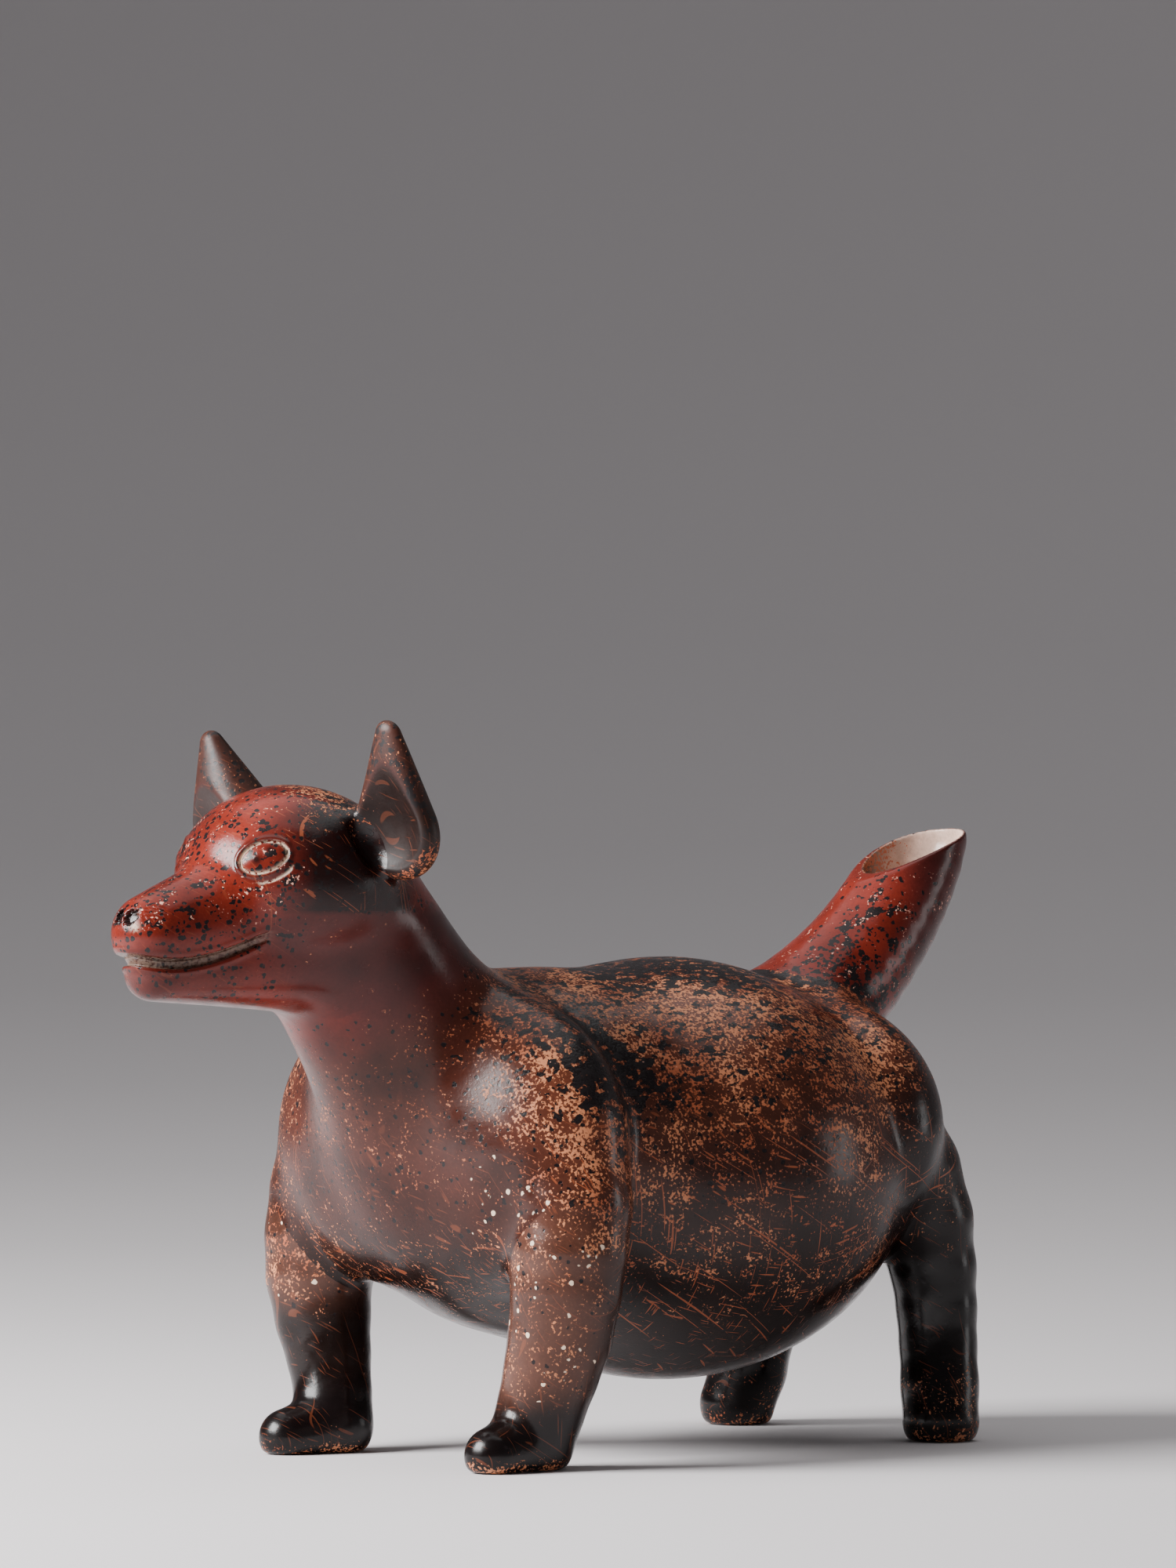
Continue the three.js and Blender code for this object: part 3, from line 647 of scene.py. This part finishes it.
def leg_slip(p):
    """Worn brown down the front of the shins, partly painted light where the key lamp falls, black below,
    and rubbed to tan round the soles.
    """
    x, y, z = p.T
    slip = pot_slip(p)
    fore = smooth(-20, -60, x) * smooth(112, 84, z)
    front = smooth(-88, -106, x)
    down_to = np.where(y < 0, 26, 60)
    shin = fore * smooth(down_to - 12, down_to + 8, z)
    # The lighter brown on the forelegs' fronts is partly wear and partly painted light on their lit side.
    ground = laid(slip["ground"], LEG_BROWN, shin * (0.2 + 0.6 * front))
    ground = laid(ground, SMOKE_AND_SHADE_BLACK, smooth(40, 18, z) * (1 - shin))
    side_wear = 0.7 * smooth(45, 20, z) * smooth(20, 60, x)
    sole_rub = smooth(7, 2, z)
    shin_wear = np.where(y < 0, 0.24, 0.34) * shin * (0.4 + 0.6 * front)
    foot_wear = np.maximum(0.42 * sole_rub, 0.34 * side_wear)
    slip["ground"] = ground
    slip["web"] = np.maximum(slip["web"] * smooth(60, 90, z), np.maximum(foot_wear, shin_wear))
    slip["chalk"] = np.where(y < 0, 0.09, 0.03) * fore * front * smooth(22, 40, z)
    slip["spots"] = slip["spots"] * smooth(60, 90, z)
    slip["scratches"] = np.full(len(p), 0.2)
    return slip


dark_slip = burnished_slip("smoked_black_slip", 0.22)
for name, node, low, high in (
    ("left_foreleg", "front_left_leg", (-150, -100, -4), (-50, -10, 135)),
    ("right_foreleg", "front_right_leg", (-150, 10, -4), (-50, 100, 135)),
    ("left_hindleg", "hind_left_leg", (60, -100, -4), (145, -10, 145)),
    ("right_hindleg", "hind_right_leg", (60, 10, -4), (145, 100, 145)),
):
    piece = as_object(name, *formed(body_skin, low, high, LEG_STEP))
    piece = trimmed(piece, ("DIFFERENCE", core_tool))
    burnished(piece, body_skin)
    slipped(piece, dark_slip, leg_slip)
    settle_in(piece, "dark_slip", node)

# Neck
# A short thick tube of clay that leans forward out of the chest and carries the head.
# Its red slip thins out into the brown of the chest.

SKULL = dict(at=(-169.5, 0, 218), half=(42, 41, 35))
MUZZLE = [((-190, 0, 206), 25.0), ((-233.5, 0, 198.5), 15.2)]
JAW = [((-164, 0, 192.5), 24.0), ((-233, 0, 183.5), 9.8)]
JAW_SPREAD = 1.2
MUZZLE_BLEND = 10.0
JAW_BLEND = 6.0
HEAD_BLEND = 14.0

# The neck's skin runs out into the head, so the head's plain form comes here.
jaw_roll = limb(JAW, ROLL_BLEND)
head = run_together(swelling(**SKULL), limb(MUZZLE, ROLL_BLEND), MUZZLE_BLEND)
head = run_together(head, lambda p: jaw_roll(p / [1, JAW_SPREAD, 1]), JAW_BLEND)
neck_skin = worked(run_together(open_skin, head, HEAD_BLEND))

BRICK = fired(108, 33, 23)
# Purple of the neck's sides and cheeks; on the spout's side the same purple is painted shade.
PURPLE = fired(68, 24, 21)
THROAT_BOX = ((-200, -75, 100), (-60, 75, 245))
THROAT_STEP = 1.2


def neck_slip(p):
    """Red from part way up the neck, purple at its sides and brick under the throat."""
    y, z = p[:, 1], p[:, 2]
    slip = pot_slip(p)
    up = (p - NECK["start"]) @ neck_axis
    behind = smooth(-30, 30, (p - NECK["start"]) @ np.cross(neck_axis, [0, 1, 0]))
    red = smooth(26 + 10 * behind, 58 + 6 * behind, up)
    throat = smooth(30, 8, np.abs(y)) * smooth(200, 180, z)
    slip["ground"] = laid(slip["ground"], laid(PURPLE, BRICK, throat), red)
    slip["web"] = slip["web"] * (1 - red)
    slip["flecks"] = slip["flecks"] * (1 - 0.7 * red)
    slip["scratches"] = slip["scratches"] * (1 - 0.8 * red)
    slip["chalk"] = slip["chalk"] * (1 - red)
    slip["spots"] = slip["spots"] * (1 - red)
    return slip


red_slip = burnished_slip("red_slip", 0.22)
span = neck_block("span", *NECK_SPAN)
piece = as_object("throat", *formed(neck_skin, *THROAT_BOX, THROAT_STEP))
piece = trimmed(piece, ("INTERSECT", span), ("DIFFERENCE", hollow_tool))
burnished(piece, neck_skin)
slipped(piece, red_slip, neck_slip)
settle_in(piece, "red_slip", "neck")

# Head
# A hollow skull and muzzle, closed over the neck. While the clay was leather hard the potter
# drew a wide mouth with a blunt tool, pressed in the nostrils and cut an almond round each eye.

EAR = dict(at=(-155, -45.5, 236), height=35.5, splay=4.5, lobe=18.8, tip=6.3, thickness=0.58)
FAR_EAR = dict(at=(-155, -46.5, 235), height=33.5, splay=4.5, lobe=21.0, tip=6.0, thickness=0.75)
# A cup's place is given forward, outward and up from its ear's foot.
CUP = dict(at=(9, 2, 2), height=28.0, splay=4, lobe=15.5, tip=4.0, thickness=0.5)
FAR_CUP = dict(at=(13, 2, 2), height=26.0, splay=4, lobe=16.0, tip=4.0, thickness=0.4)
EAR_TURN, EAR_LEAN = math.radians(5), math.radians(15)
EAR_BLEND = 8.0
CUP_ROUNDING = 3.0

# The ears are pressed on to the head's skin, so their forms come here.

ear_across = np.array([-math.sin(EAR_TURN), math.cos(EAR_TURN), 0])
ear_back = np.cross(ear_across, [0, 0, 1]) * math.cos(EAR_LEAN) + [0, 0, math.sin(EAR_LEAN)]
ear_up = np.cross(ear_back, ear_across)


def leaf(at, height, splay, lobe, tip, thickness):
    """A leaf of clay in the left ear's own axes: through it, across it and up to its tip."""
    flattened = roll((0, 0, 0), (0, -splay, height), lobe, tip)
    axes = np.column_stack([ear_back / thickness, ear_across, ear_up])
    return lambda p: flattened((p - at) @ axes) * thickness


def in_ear(ear, cup):
    """A cup's measures with its place given from its ear's foot."""
    forward, outward, up = cup["at"]
    return {**cup, "at": ear["at"] - ear_back * forward - ear_across * outward + ear_up * up}


def other_side(field):
    """A form of the dog's left side, on its right side only."""
    return lambda p: field(p * [1, -1, 1])


near_cup = leaf(**in_ear(EAR, CUP))
far_cup = other_side(leaf(**in_ear(FAR_EAR, FAR_CUP)))
head_core = run_together(head, neck, HEAD_BLEND)  # what the ears stand on
eared = run_together(run_together(core, head, HEAD_BLEND), leaf(**EAR), EAR_BLEND)
eared = run_together(eared, other_side(leaf(**FAR_EAR)), EAR_BLEND)
eared = cut_away(cut_away(eared, near_cup, CUP_ROUNDING), far_cup, CUP_ROUNDING)
ear_skin = worked(eared)

MOUTH_FRONT, MOUTH_CORNER = -246.0, -198.0
MOUTH_RISE = (-7.21, 29.4, -14.46, 189.7)  # the line's height from the front to the corner, as a cubic
EYE = dict(front=(-206.9, -17.9, 224.2), rear=(-194.9, -29.9, 229.3))
EYE_MIDDLE = np.array([-201.5, -24.6, 226.6])
EYE_RISE = np.array([1.9, 3.2, 11.1])  # from its lowest point to its highest
EYE_LONG, EYE_HIGH = 8.9, 5.6
NOSTRIL = np.array([-247.0, -3.4, 204.7])
NOSE_FROM = -238.0
SCUFF = np.array([-240.9, -11.2, 205.6])
CHIP = np.array([-246.8, -6.6, 201.2])  # a pale chip below the near nostril

# Depths of the potter's tools in mm.
MOUTH_DEPTH, CREASE_DEPTH = 1.5, 0.5
LOWER_LIP, UPPER_LIP = 0.45, 0.3
EYE_LINE_DEPTH, UNDER_LINE_DEPTH = 0.85, 0.5
EYEBALL, UPPER_LID, LOWER_LID = 0.7, 0.5, 0.35
NOSTRIL_DEPTH, NOSTRIL_EDGE = 2.0, 0.45
SCUFF_DEPTH = 0.16

eye_along = np.subtract(EYE["rear"], EYE["front"])
eye_along = eye_along / np.linalg.norm(eye_along)
eye_out = np.cross(eye_along, EYE_RISE)
eye_out = eye_out / np.linalg.norm(eye_out)
eye_axes = np.column_stack([eye_along, np.cross(eye_out, eye_along), eye_out])


def on_mouth(p):
    """Height above the mouth's line, and how far the line has faded at its corner."""
    t = np.clip((p[:, 0] - MOUTH_FRONT) / (MOUTH_CORNER - MOUTH_FRONT), 0, 1)
    return p[:, 2] - np.polyval(MOUTH_RISE, t), smooth(-195, -203, p[:, 0])


def on_eye(p):
    """Place along the eye and up it, how far outside its almond, and whether on the head's skin there."""
    along, up, out = ((np.column_stack([p[:, 0], -np.abs(p[:, 1]), p[:, 2]]) - EYE_MIDDLE) @ eye_axes).T
    far = np.sqrt((along / EYE_LONG) ** 2 + (up / EYE_HIGH) ** 2)
    steep = np.sqrt((along / EYE_LONG**2) ** 2 + (up / EYE_HIGH**2) ** 2)
    outside = far * (far - 1) / np.maximum(steep, 1e-6)
    return along, up, outside, (np.abs(out) < 9) & (np.hypot(along, up) < 18)


def bead(value, middle, half):
    """1 at the middle, falling away evenly on both sides."""
    return np.exp(-((value - middle) / half) ** 2)


def under_eye(along, outside, half):
    """The short line below the eye."""
    return bead(outside, 3.7, half) * smooth(-6, -2, along) * smooth(10.5, 7.5, along)


def from_nostril(p):
    """Distance from the middle of the nearer nostril, as seen from the front."""
    return np.hypot(np.abs(p[:, 1]) + NOSTRIL[1], p[:, 2] - NOSTRIL[2])


def drawn_and_pressed(p):
    """Depth of clay that the potter's tools took from the head's skin, below 0 where they raised it."""
    x, y, z = p.T
    above, faded = on_mouth(p)
    depth = (MOUTH_DEPTH * smooth(2.3, 1.3, np.abs(above)) + CREASE_DEPTH * bead(above, 1.3, 0.4)) * faded
    depth -= (LOWER_LIP * bead(above, -3.3, 1.1) + UPPER_LIP * bead(above, 3.4, 1.2)) * faded
    along, up, outside, near = on_eye(p)
    upper = smooth(-2.5, 2.0, up - 0.25 * along)
    lower = smooth(1.5, -3.0, up)
    eye = EYE_LINE_DEPTH * bead(outside, 0, 0.55)
    eye -= EYEBALL * np.clip(-outside / EYE_HIGH, 0, 1) ** 0.7
    eye -= UPPER_LID * bead(outside, 1.5, 0.9) * upper
    eye -= LOWER_LID * bead(outside, 1.4, 0.8) * lower
    eye += UNDER_LINE_DEPTH * under_eye(along, outside, 0.55) * lower
    depth += np.where(near, eye, 0)
    nostril = from_nostril(p) + NOSTRIL_EDGE * np.sin(2.3 * y + 1.1) * np.sin(2.9 * z)
    depth += np.where(x < NOSE_FROM, NOSTRIL_DEPTH * smooth(3.5, 1.6, nostril), 0)
    scuffed = smooth(6.0, 3.5, np.linalg.norm(p - SCUFF, axis=1))
    pitted = 1 + np.sin(2.6 * y + x) * np.sin(2.2 * z + 1.7 * x)
    return depth + SCUFF_DEPTH * scuffed * pitted


def head_skin(p):
    return ear_skin(p) + drawn_and_pressed(p)


def near_details(p):
    """Where the net is made twice as fine: along the mouth, round the eyes and on the nose."""
    mouth = (np.abs(on_mouth(p)[0]) < 5) & (p[:, 0] < -193)
    _, _, outside, near = on_eye(p)
    nose = (p[:, 0] < NOSE_FROM) & (np.linalg.norm(p[:, 1:] - [0, NOSTRIL[2]], axis=1) < 9)
    return mouth | (near & (np.abs(outside) < 7)) | nose


def near_eye(p):
    """Where it is made twice as fine again."""
    _, _, outside, near = on_eye(p)
    return near & (np.abs(outside) < 5)


MOUTH_GREY = fired(74, 54, 47)
# A darker copy of the brick red, painted shade under the jaw.
SHADED_JAW_RED = fired(72, 21, 15)


def head_slip(p):
    """Brick red face, purple cheeks, a soot cloud behind each eye, a worn brown crown and filled lines, with
    painted shade under the jaw, round each eye and in the nostrils.
    """
    x, y, z = p.T
    slip = neck_slip(p)
    face = smooth(-178, -198, x)
    cheek = smooth(209, 203, z) * smooth(-212, -192, x) * smooth(12, 26, np.abs(y))
    ground = laid(slip["ground"], BRICK, np.maximum(face, smooth(204, 210, z)))
    ground = laid(ground, PURPLE, 0.9 * cheek)
    crown = smooth(226, 246, z) * smooth(-192, -168, x)
    cloud = np.exp(-((x + 165) / 30) ** 4 - ((z - 221) / 29) ** 4) * smooth(10, 26, np.abs(y))
    soot = np.clip(1.3 * cloud, 0, 1) * smooth(204.6, 207.4, z)
    ground = laid(ground, SMOKE_AND_SHADE_BLACK, np.maximum(0.93 * soot, 0.5 * crown))
    # The darker red under the jaw and lower muzzle is painted shade on the face's underside.
    low = smooth(198, 184, z) * smooth(-196, -214, x)
    ground = laid(ground, SHADED_JAW_RED, 0.8 * low)

    above, faded = on_mouth(p)
    in_mouth = smooth(2.2, 1.6, np.abs(above)) * faded
    along, up, outside, near = on_eye(p)
    ring = bead(outside, 1.9, 1.3)
    blotch = bead(np.hypot(along + 2.6, up + 0.4), 0, 1.9) + bead(np.hypot(along - 3.0, up - 1.6), 0, 1.4)
    # The dark ring round each eye's almond is painted shade, where the steep edge of the lid throws a
    # shadow.
    ground = laid(ground, SMOKE_AND_SHADE_BLACK, np.where(near, 0.5 * ring, 0))
    ground = laid(ground, MOUTH_GREY, 0.85 * in_mouth)
    ground = laid(ground, SMOKE_AND_SHADE_BLACK, np.where(near, np.clip(blotch, 0, 0.9), 0))
    # The black in each nostril is painted shade in the pit.
    ground = laid(ground, SMOKE_AND_SHADE_BLACK, np.where(x < NOSE_FROM + 2, 0.95 * smooth(3.8, 2.4, from_nostril(p)), 0))
    lines = bead(outside, 0, 0.5) + under_eye(along, outside, 0.4) * smooth(-4.5, -6.5, up)
    lines = np.where(near, np.clip(0.85 * lines, 0, 1), 0)
    chipped = bead(np.linalg.norm(p - CHIP, axis=1), 0, 1.5)
    scuffed = bead(np.linalg.norm(p - SCUFF, axis=1), 0, 5.5)

    slip["ground"] = ground
    slip["web"] = 0.5 * crown
    slip["flecks"] = np.maximum(0.8 * face, np.maximum(0.45 * crown, 0.75 * smooth(204, 210, z)))
    slip["spots"] = np.maximum(0.4 * crown + 0.3 * soot, 0.36 * face * smooth(186, 200, z))
    slip["scratches"] = np.clip(0.9 * crown + 0.45 * soot + 0.15 * face, 0, 1)
    slip["scuffs"] = 0.4 * face * smooth(190, 206, z) + 0.3 * scuffed
    slip["deposit"] = np.maximum(lines, np.maximum(0.6 * chipped, 0.12 * in_mouth))
    return slip


def in_head(p):
    """The space inside the head, open into the neck."""
    return np.minimum(head(p), neck(p)) + WALL


EAR_COLLAR = 3.5  # how far the head swells out to meet the ears
EAR_JOINT_BOX = ((-260, -60, 120), (-70, 60, 265))
IN_HEAD_BOX = ((-250, -60, 130), (-100, 60, 265))
FACE_BOX = ((-256, -62, 150), (-100, 62, 264))
EAR_JOINT_STEP, IN_HEAD_STEP, FACE_STEP = 1.0, 1.5, 0.9

head_tool = tool_of("head_tool", lambda p: head_core(p) - EAR_COLLAR, *EAR_JOINT_BOX, EAR_JOINT_STEP)
head_hollow = tool_of("head_hollow", in_head, *IN_HEAD_BOX, IN_HEAD_STEP)
past = neck_block("past", NECK_SPAN[1], WIDE)
piece = as_object("face", *formed(head_skin, *FACE_BOX, FACE_STEP, (near_details, near_eye)))
piece = trimmed(piece, ("INTERSECT", past), ("INTERSECT", head_tool), ("DIFFERENCE", head_hollow))
burnished(piece, head_skin)
slipped(piece, red_slip, head_slip)
settle_in(piece, "red_slip", "head")

# Ears
# Two leaves of clay pressed on to the sides of the head, each with a cup thumbed out of its front.
# They are smoked dark brown, with painted shade darkening the cups, black blots on the rims and the lobes
# worn to orange, partly painted light.

# The cups' brown is painted shade in their hollows.
SHADED_CUP_BROWN = fired(34, 20, 17)
RIM_BROWN = fired(50, 28, 20)
EAR_STEP = 0.7


def ear_slip(p):
    """The head's slip where an ear grows out of it, then the ear's own browns, with painted shade in the
    cup.
    """
    slip = head_slip(p)
    cup = np.where(p[:, 1] < 0, near_cup(p), far_cup(p))
    inside = smooth(1.4, 0.3, cup)
    out_of_head = smooth(1.0, 5.0, head_core(p))
    ground = laid(slip["ground"], RIM_BROWN, 0.85 * out_of_head * (1 - inside))
    # The cup's darker brown is painted shade in the hollow.
    slip["ground"] = laid(ground, SHADED_CUP_BROWN, inside)
    # The tan web thickening towards the lobes is partly wear and partly painted light, where the lobes catch
    # the lamp.
    lobe = smooth(240, 222, p[:, 2])
    slip["web"] = ((0.2 + 0.34 * lobe) * out_of_head + slip["web"] * (1 - out_of_head)) * (1 - inside)
    slip["flecks"] = 0.3 * (1 - inside)
    slip["spots"] = 0.4 * out_of_head * (1 - inside)
    slip["scratches"] = np.full(len(p), 0.14)
    slip["scuffs"] = np.zeros(len(p))
    return slip


brown_ear_slip = burnished_slip("ear_slip", 0.46)
for name, node, low, high in (
    ("near_ear", "left_ear", (-188, -82, 198), (-116, -15, 284)),
    ("far_ear", "right_ear", (-188, 15, 198), (-116, 84, 284)),
):
    piece = as_object(name, *formed(ear_skin, low, high, EAR_STEP))
    piece = trimmed(piece, ("DIFFERENCE", head_tool))
    burnished(piece, ear_skin)
    slipped(piece, brown_ear_slip, ear_slip)
    settle_in(piece, "ear_slip", node)

# Spout
# The tail is a wide spout of coiled clay, luted over a hole in the rump and cut on a slant at its mouth.
# Its red slip stops at its foot. The inside was left bare and has furred to a pale cream, darkening deeper
# in, partly dark clay and partly painted shade.

MOUTH_SLOPE = math.radians(21.5)
MOUTH_MIDDLE = (147, 0, 226.5)
MOUTH_DIP = 0.0035  # how fast the cut rises from its middle line to its sides
OUTER_EDGE, INNER_EDGE = 1.8, 1.4  # how far the rim's edges are rounded
BORE_RADII = (20.5, 16.6, 16.6)
bore = limb(bent([(at, radius) for (at, _), radius in zip(SPOUT, BORE_RADII)]), SPOUT_ROLL_BLEND)
cut_normal = [-math.sin(MOUTH_SLOPE), 0, math.cos(MOUTH_SLOPE)]


def beyond_mouth(p):
    """The space past the slant cut, which is a little higher along the mouth's sides."""
    return MOUTH_DIP * p[:, 1] ** 2 - (p - MOUTH_MIDDLE) @ cut_normal


spout_skin = cut_away(cut_away(body_skin, beyond_mouth, OUTER_EDGE), bore, INNER_EDGE)
BARE_CREAM = fired(222, 188, 170)
SPOUT_BOX = ((60, -50, 150), (182, 50, 262))
SPOUT_STEP = 0.9


def spout_slip(p):
    """Brick red in front with black flecks, purple painted shade on the side, and bare cream inside that
    darkens deeper in, partly with painted shade.
    """
    x, y, z = p.T
    slip = pot_slip(p)
    red = smooth(2.0, 6.5, body(p))
    smoked = smooth(4, -14, y) * smooth(150, 118, x)
    # Purple on the rear of the near side is painted shade and a painted reflection of the dark surroundings,
    # where the tube turns away from the key light.
    side = smooth(2, -10, y) * smooth(118, 140, x)
    ground = laid(slip["ground"], laid(BRICK, PURPLE, side), red)
    inside = smooth(1.2, 0.4, bore(p)) * smooth(2, 4, z - 150)
    # Deeper down the bore the cream darkens to black, partly dark clay and partly painted shade.
    ground = laid(ground, laid(BARE_CREAM, SMOKE_AND_SHADE_BLACK, 0.85 * smooth(158, 136, x)), inside)
    slip["ground"] = ground
    slip["web"] = slip["web"] * (1 - red) * (1 - inside) + 0.6 * smooth(172, 146, x) * inside
    in_front = smoked * (1 - side)
    slip["flecks"] = (slip["flecks"] * (1 - red) + (0.2 + 0.7 * in_front) * red) * (1 - inside)
    slip["spots"] = (slip["spots"] * (1 - red) + 0.5 * in_front * red) * (1 - inside)
    slip["scuffs"] = 0.35 * red * (1 - inside)
    slip["scratches"] = np.zeros(len(p))
    slip["chalk"] = np.zeros(len(p))
    return slip


piece = as_object("spout", *formed(spout_skin, *SPOUT_BOX, SPOUT_STEP))
piece = trimmed(piece, ("DIFFERENCE", core_tool))
burnished(piece, spout_skin)
slipped(piece, red_slip, spout_slip)
settle_in(piece, "red_slip", "tail_spout")

for tool in (core_tool, hollow_tool, past_the_neck, span, head_tool, head_hollow, past):
    bpy.data.objects.remove(tool)

# Studio
# The dog stands on pale paper that rises far off all round it. A large softbox on the left lights its
# face and shoulders. A wide one overhead, a faint narrow one on the right and even light fill in.

DISH = [  # how far out and how high, in metres
    (0.0, 0.0), (0.8, 0.0), (1.4, 0.004), (2.0, 0.02), (2.6, 0.05), (3.2, 0.1), (3.8, 0.2), (4.4, 0.38),
    (5.0, 0.68), (5.5, 1.1), (5.9, 1.6), (6.2, 2.2), (6.4, 3.0),
]
DISH_SIDES = 64
turns = [2 * math.pi * i / DISH_SIDES for i in range(DISH_SIDES)]
rim = [(math.cos(turn), math.sin(turn)) for turn in turns]
knots = [(0, 0, 0)] + [(far * c, far * s, high) for far, high in DISH[1:] for c, s in rim]
rings = [range(1 + k * DISH_SIDES, 1 + (k + 1) * DISH_SIDES) for k in range(len(DISH) - 1)]
faces = [(0, rings[0][i], rings[0][(i + 1) % DISH_SIDES]) for i in range(DISH_SIDES)]
for inner, outer in zip(rings, rings[1:]):
    for i in range(DISH_SIDES):
        j = (i + 1) % DISH_SIDES
        faces.append((inner[i], outer[i], outer[j], inner[j]))
mesh = bpy.data.meshes.new("sweep")
mesh.from_pydata(knots, [], faces)
mesh.shade_smooth()
sweep = bpy.data.objects.new("sweep", mesh)
bpy.context.scene.collection.objects.link(sweep)
paper = bpy.data.materials.new("pale_paper")
paper.use_nodes = True
paper_shader = paper.node_tree.nodes["Principled BSDF"]
paper_shader.inputs["Base Color"].default_value = (0.7, 0.664, 0.674, 1)
paper_shader.inputs["Roughness"].default_value = 0.75
mesh.materials.append(paper)

camera = bpy.data.objects.new("camera", bpy.data.cameras.new("camera"))
bpy.context.scene.collection.objects.link(camera)
view = math.radians(41.56)  # so far round from the dog's left side towards its face
camera.location = (-2.1072, -2.3956, 0.253)
camera.rotation_euler = (math.pi / 2, 0, -view)
camera.data.sensor_fit = "VERTICAL"
camera.data.sensor_height = 36
camera.data.lens = 193.34
bpy.context.scene.camera = camera


AIM_HEIGHT = 0.15


def softbox(name, right, up, distance, size, power):
    """A softbox facing the dog, so many degrees round to the right of the camera and up from level."""
    right, up = math.radians(right), math.radians(up)
    toward = np.array([-math.sin(view), -math.cos(view), 0])
    across = np.array([math.cos(view), -math.sin(view), 0])
    way = (toward * math.cos(right) + across * math.sin(right)) * math.cos(up) + [0, 0, math.sin(up)]
    lamp = bpy.data.lights.new(name, "AREA")
    lamp.shape = "RECTANGLE"
    lamp.size, lamp.size_y = size
    lamp.energy = power
    made = bpy.data.objects.new(name, lamp)
    made.location = Vector(way * distance) + Vector((0, 0, AIM_HEIGHT))
    made.rotation_euler = Vector(-way).to_track_quat("-Z", "Y").to_euler()
    bpy.context.scene.collection.objects.link(made)


softbox("key_softbox", right=-68, up=28, distance=1.6, size=(0.92, 0.8), power=95)
softbox("side_softbox", right=95, up=4, distance=1.6, size=(0.35, 0.6), power=2)
softbox("overhead_softbox", right=180, up=80, distance=2.8, size=(3.0, 3.0), power=37)
world = bpy.data.worlds.new("studio")
world.use_nodes = True
glow = world.node_tree.nodes["Background"]
glow.inputs["Color"].default_value = (0.5, 0.5, 0.52, 1)
glow.inputs["Strength"].default_value = 0.2
bpy.context.scene.world = world
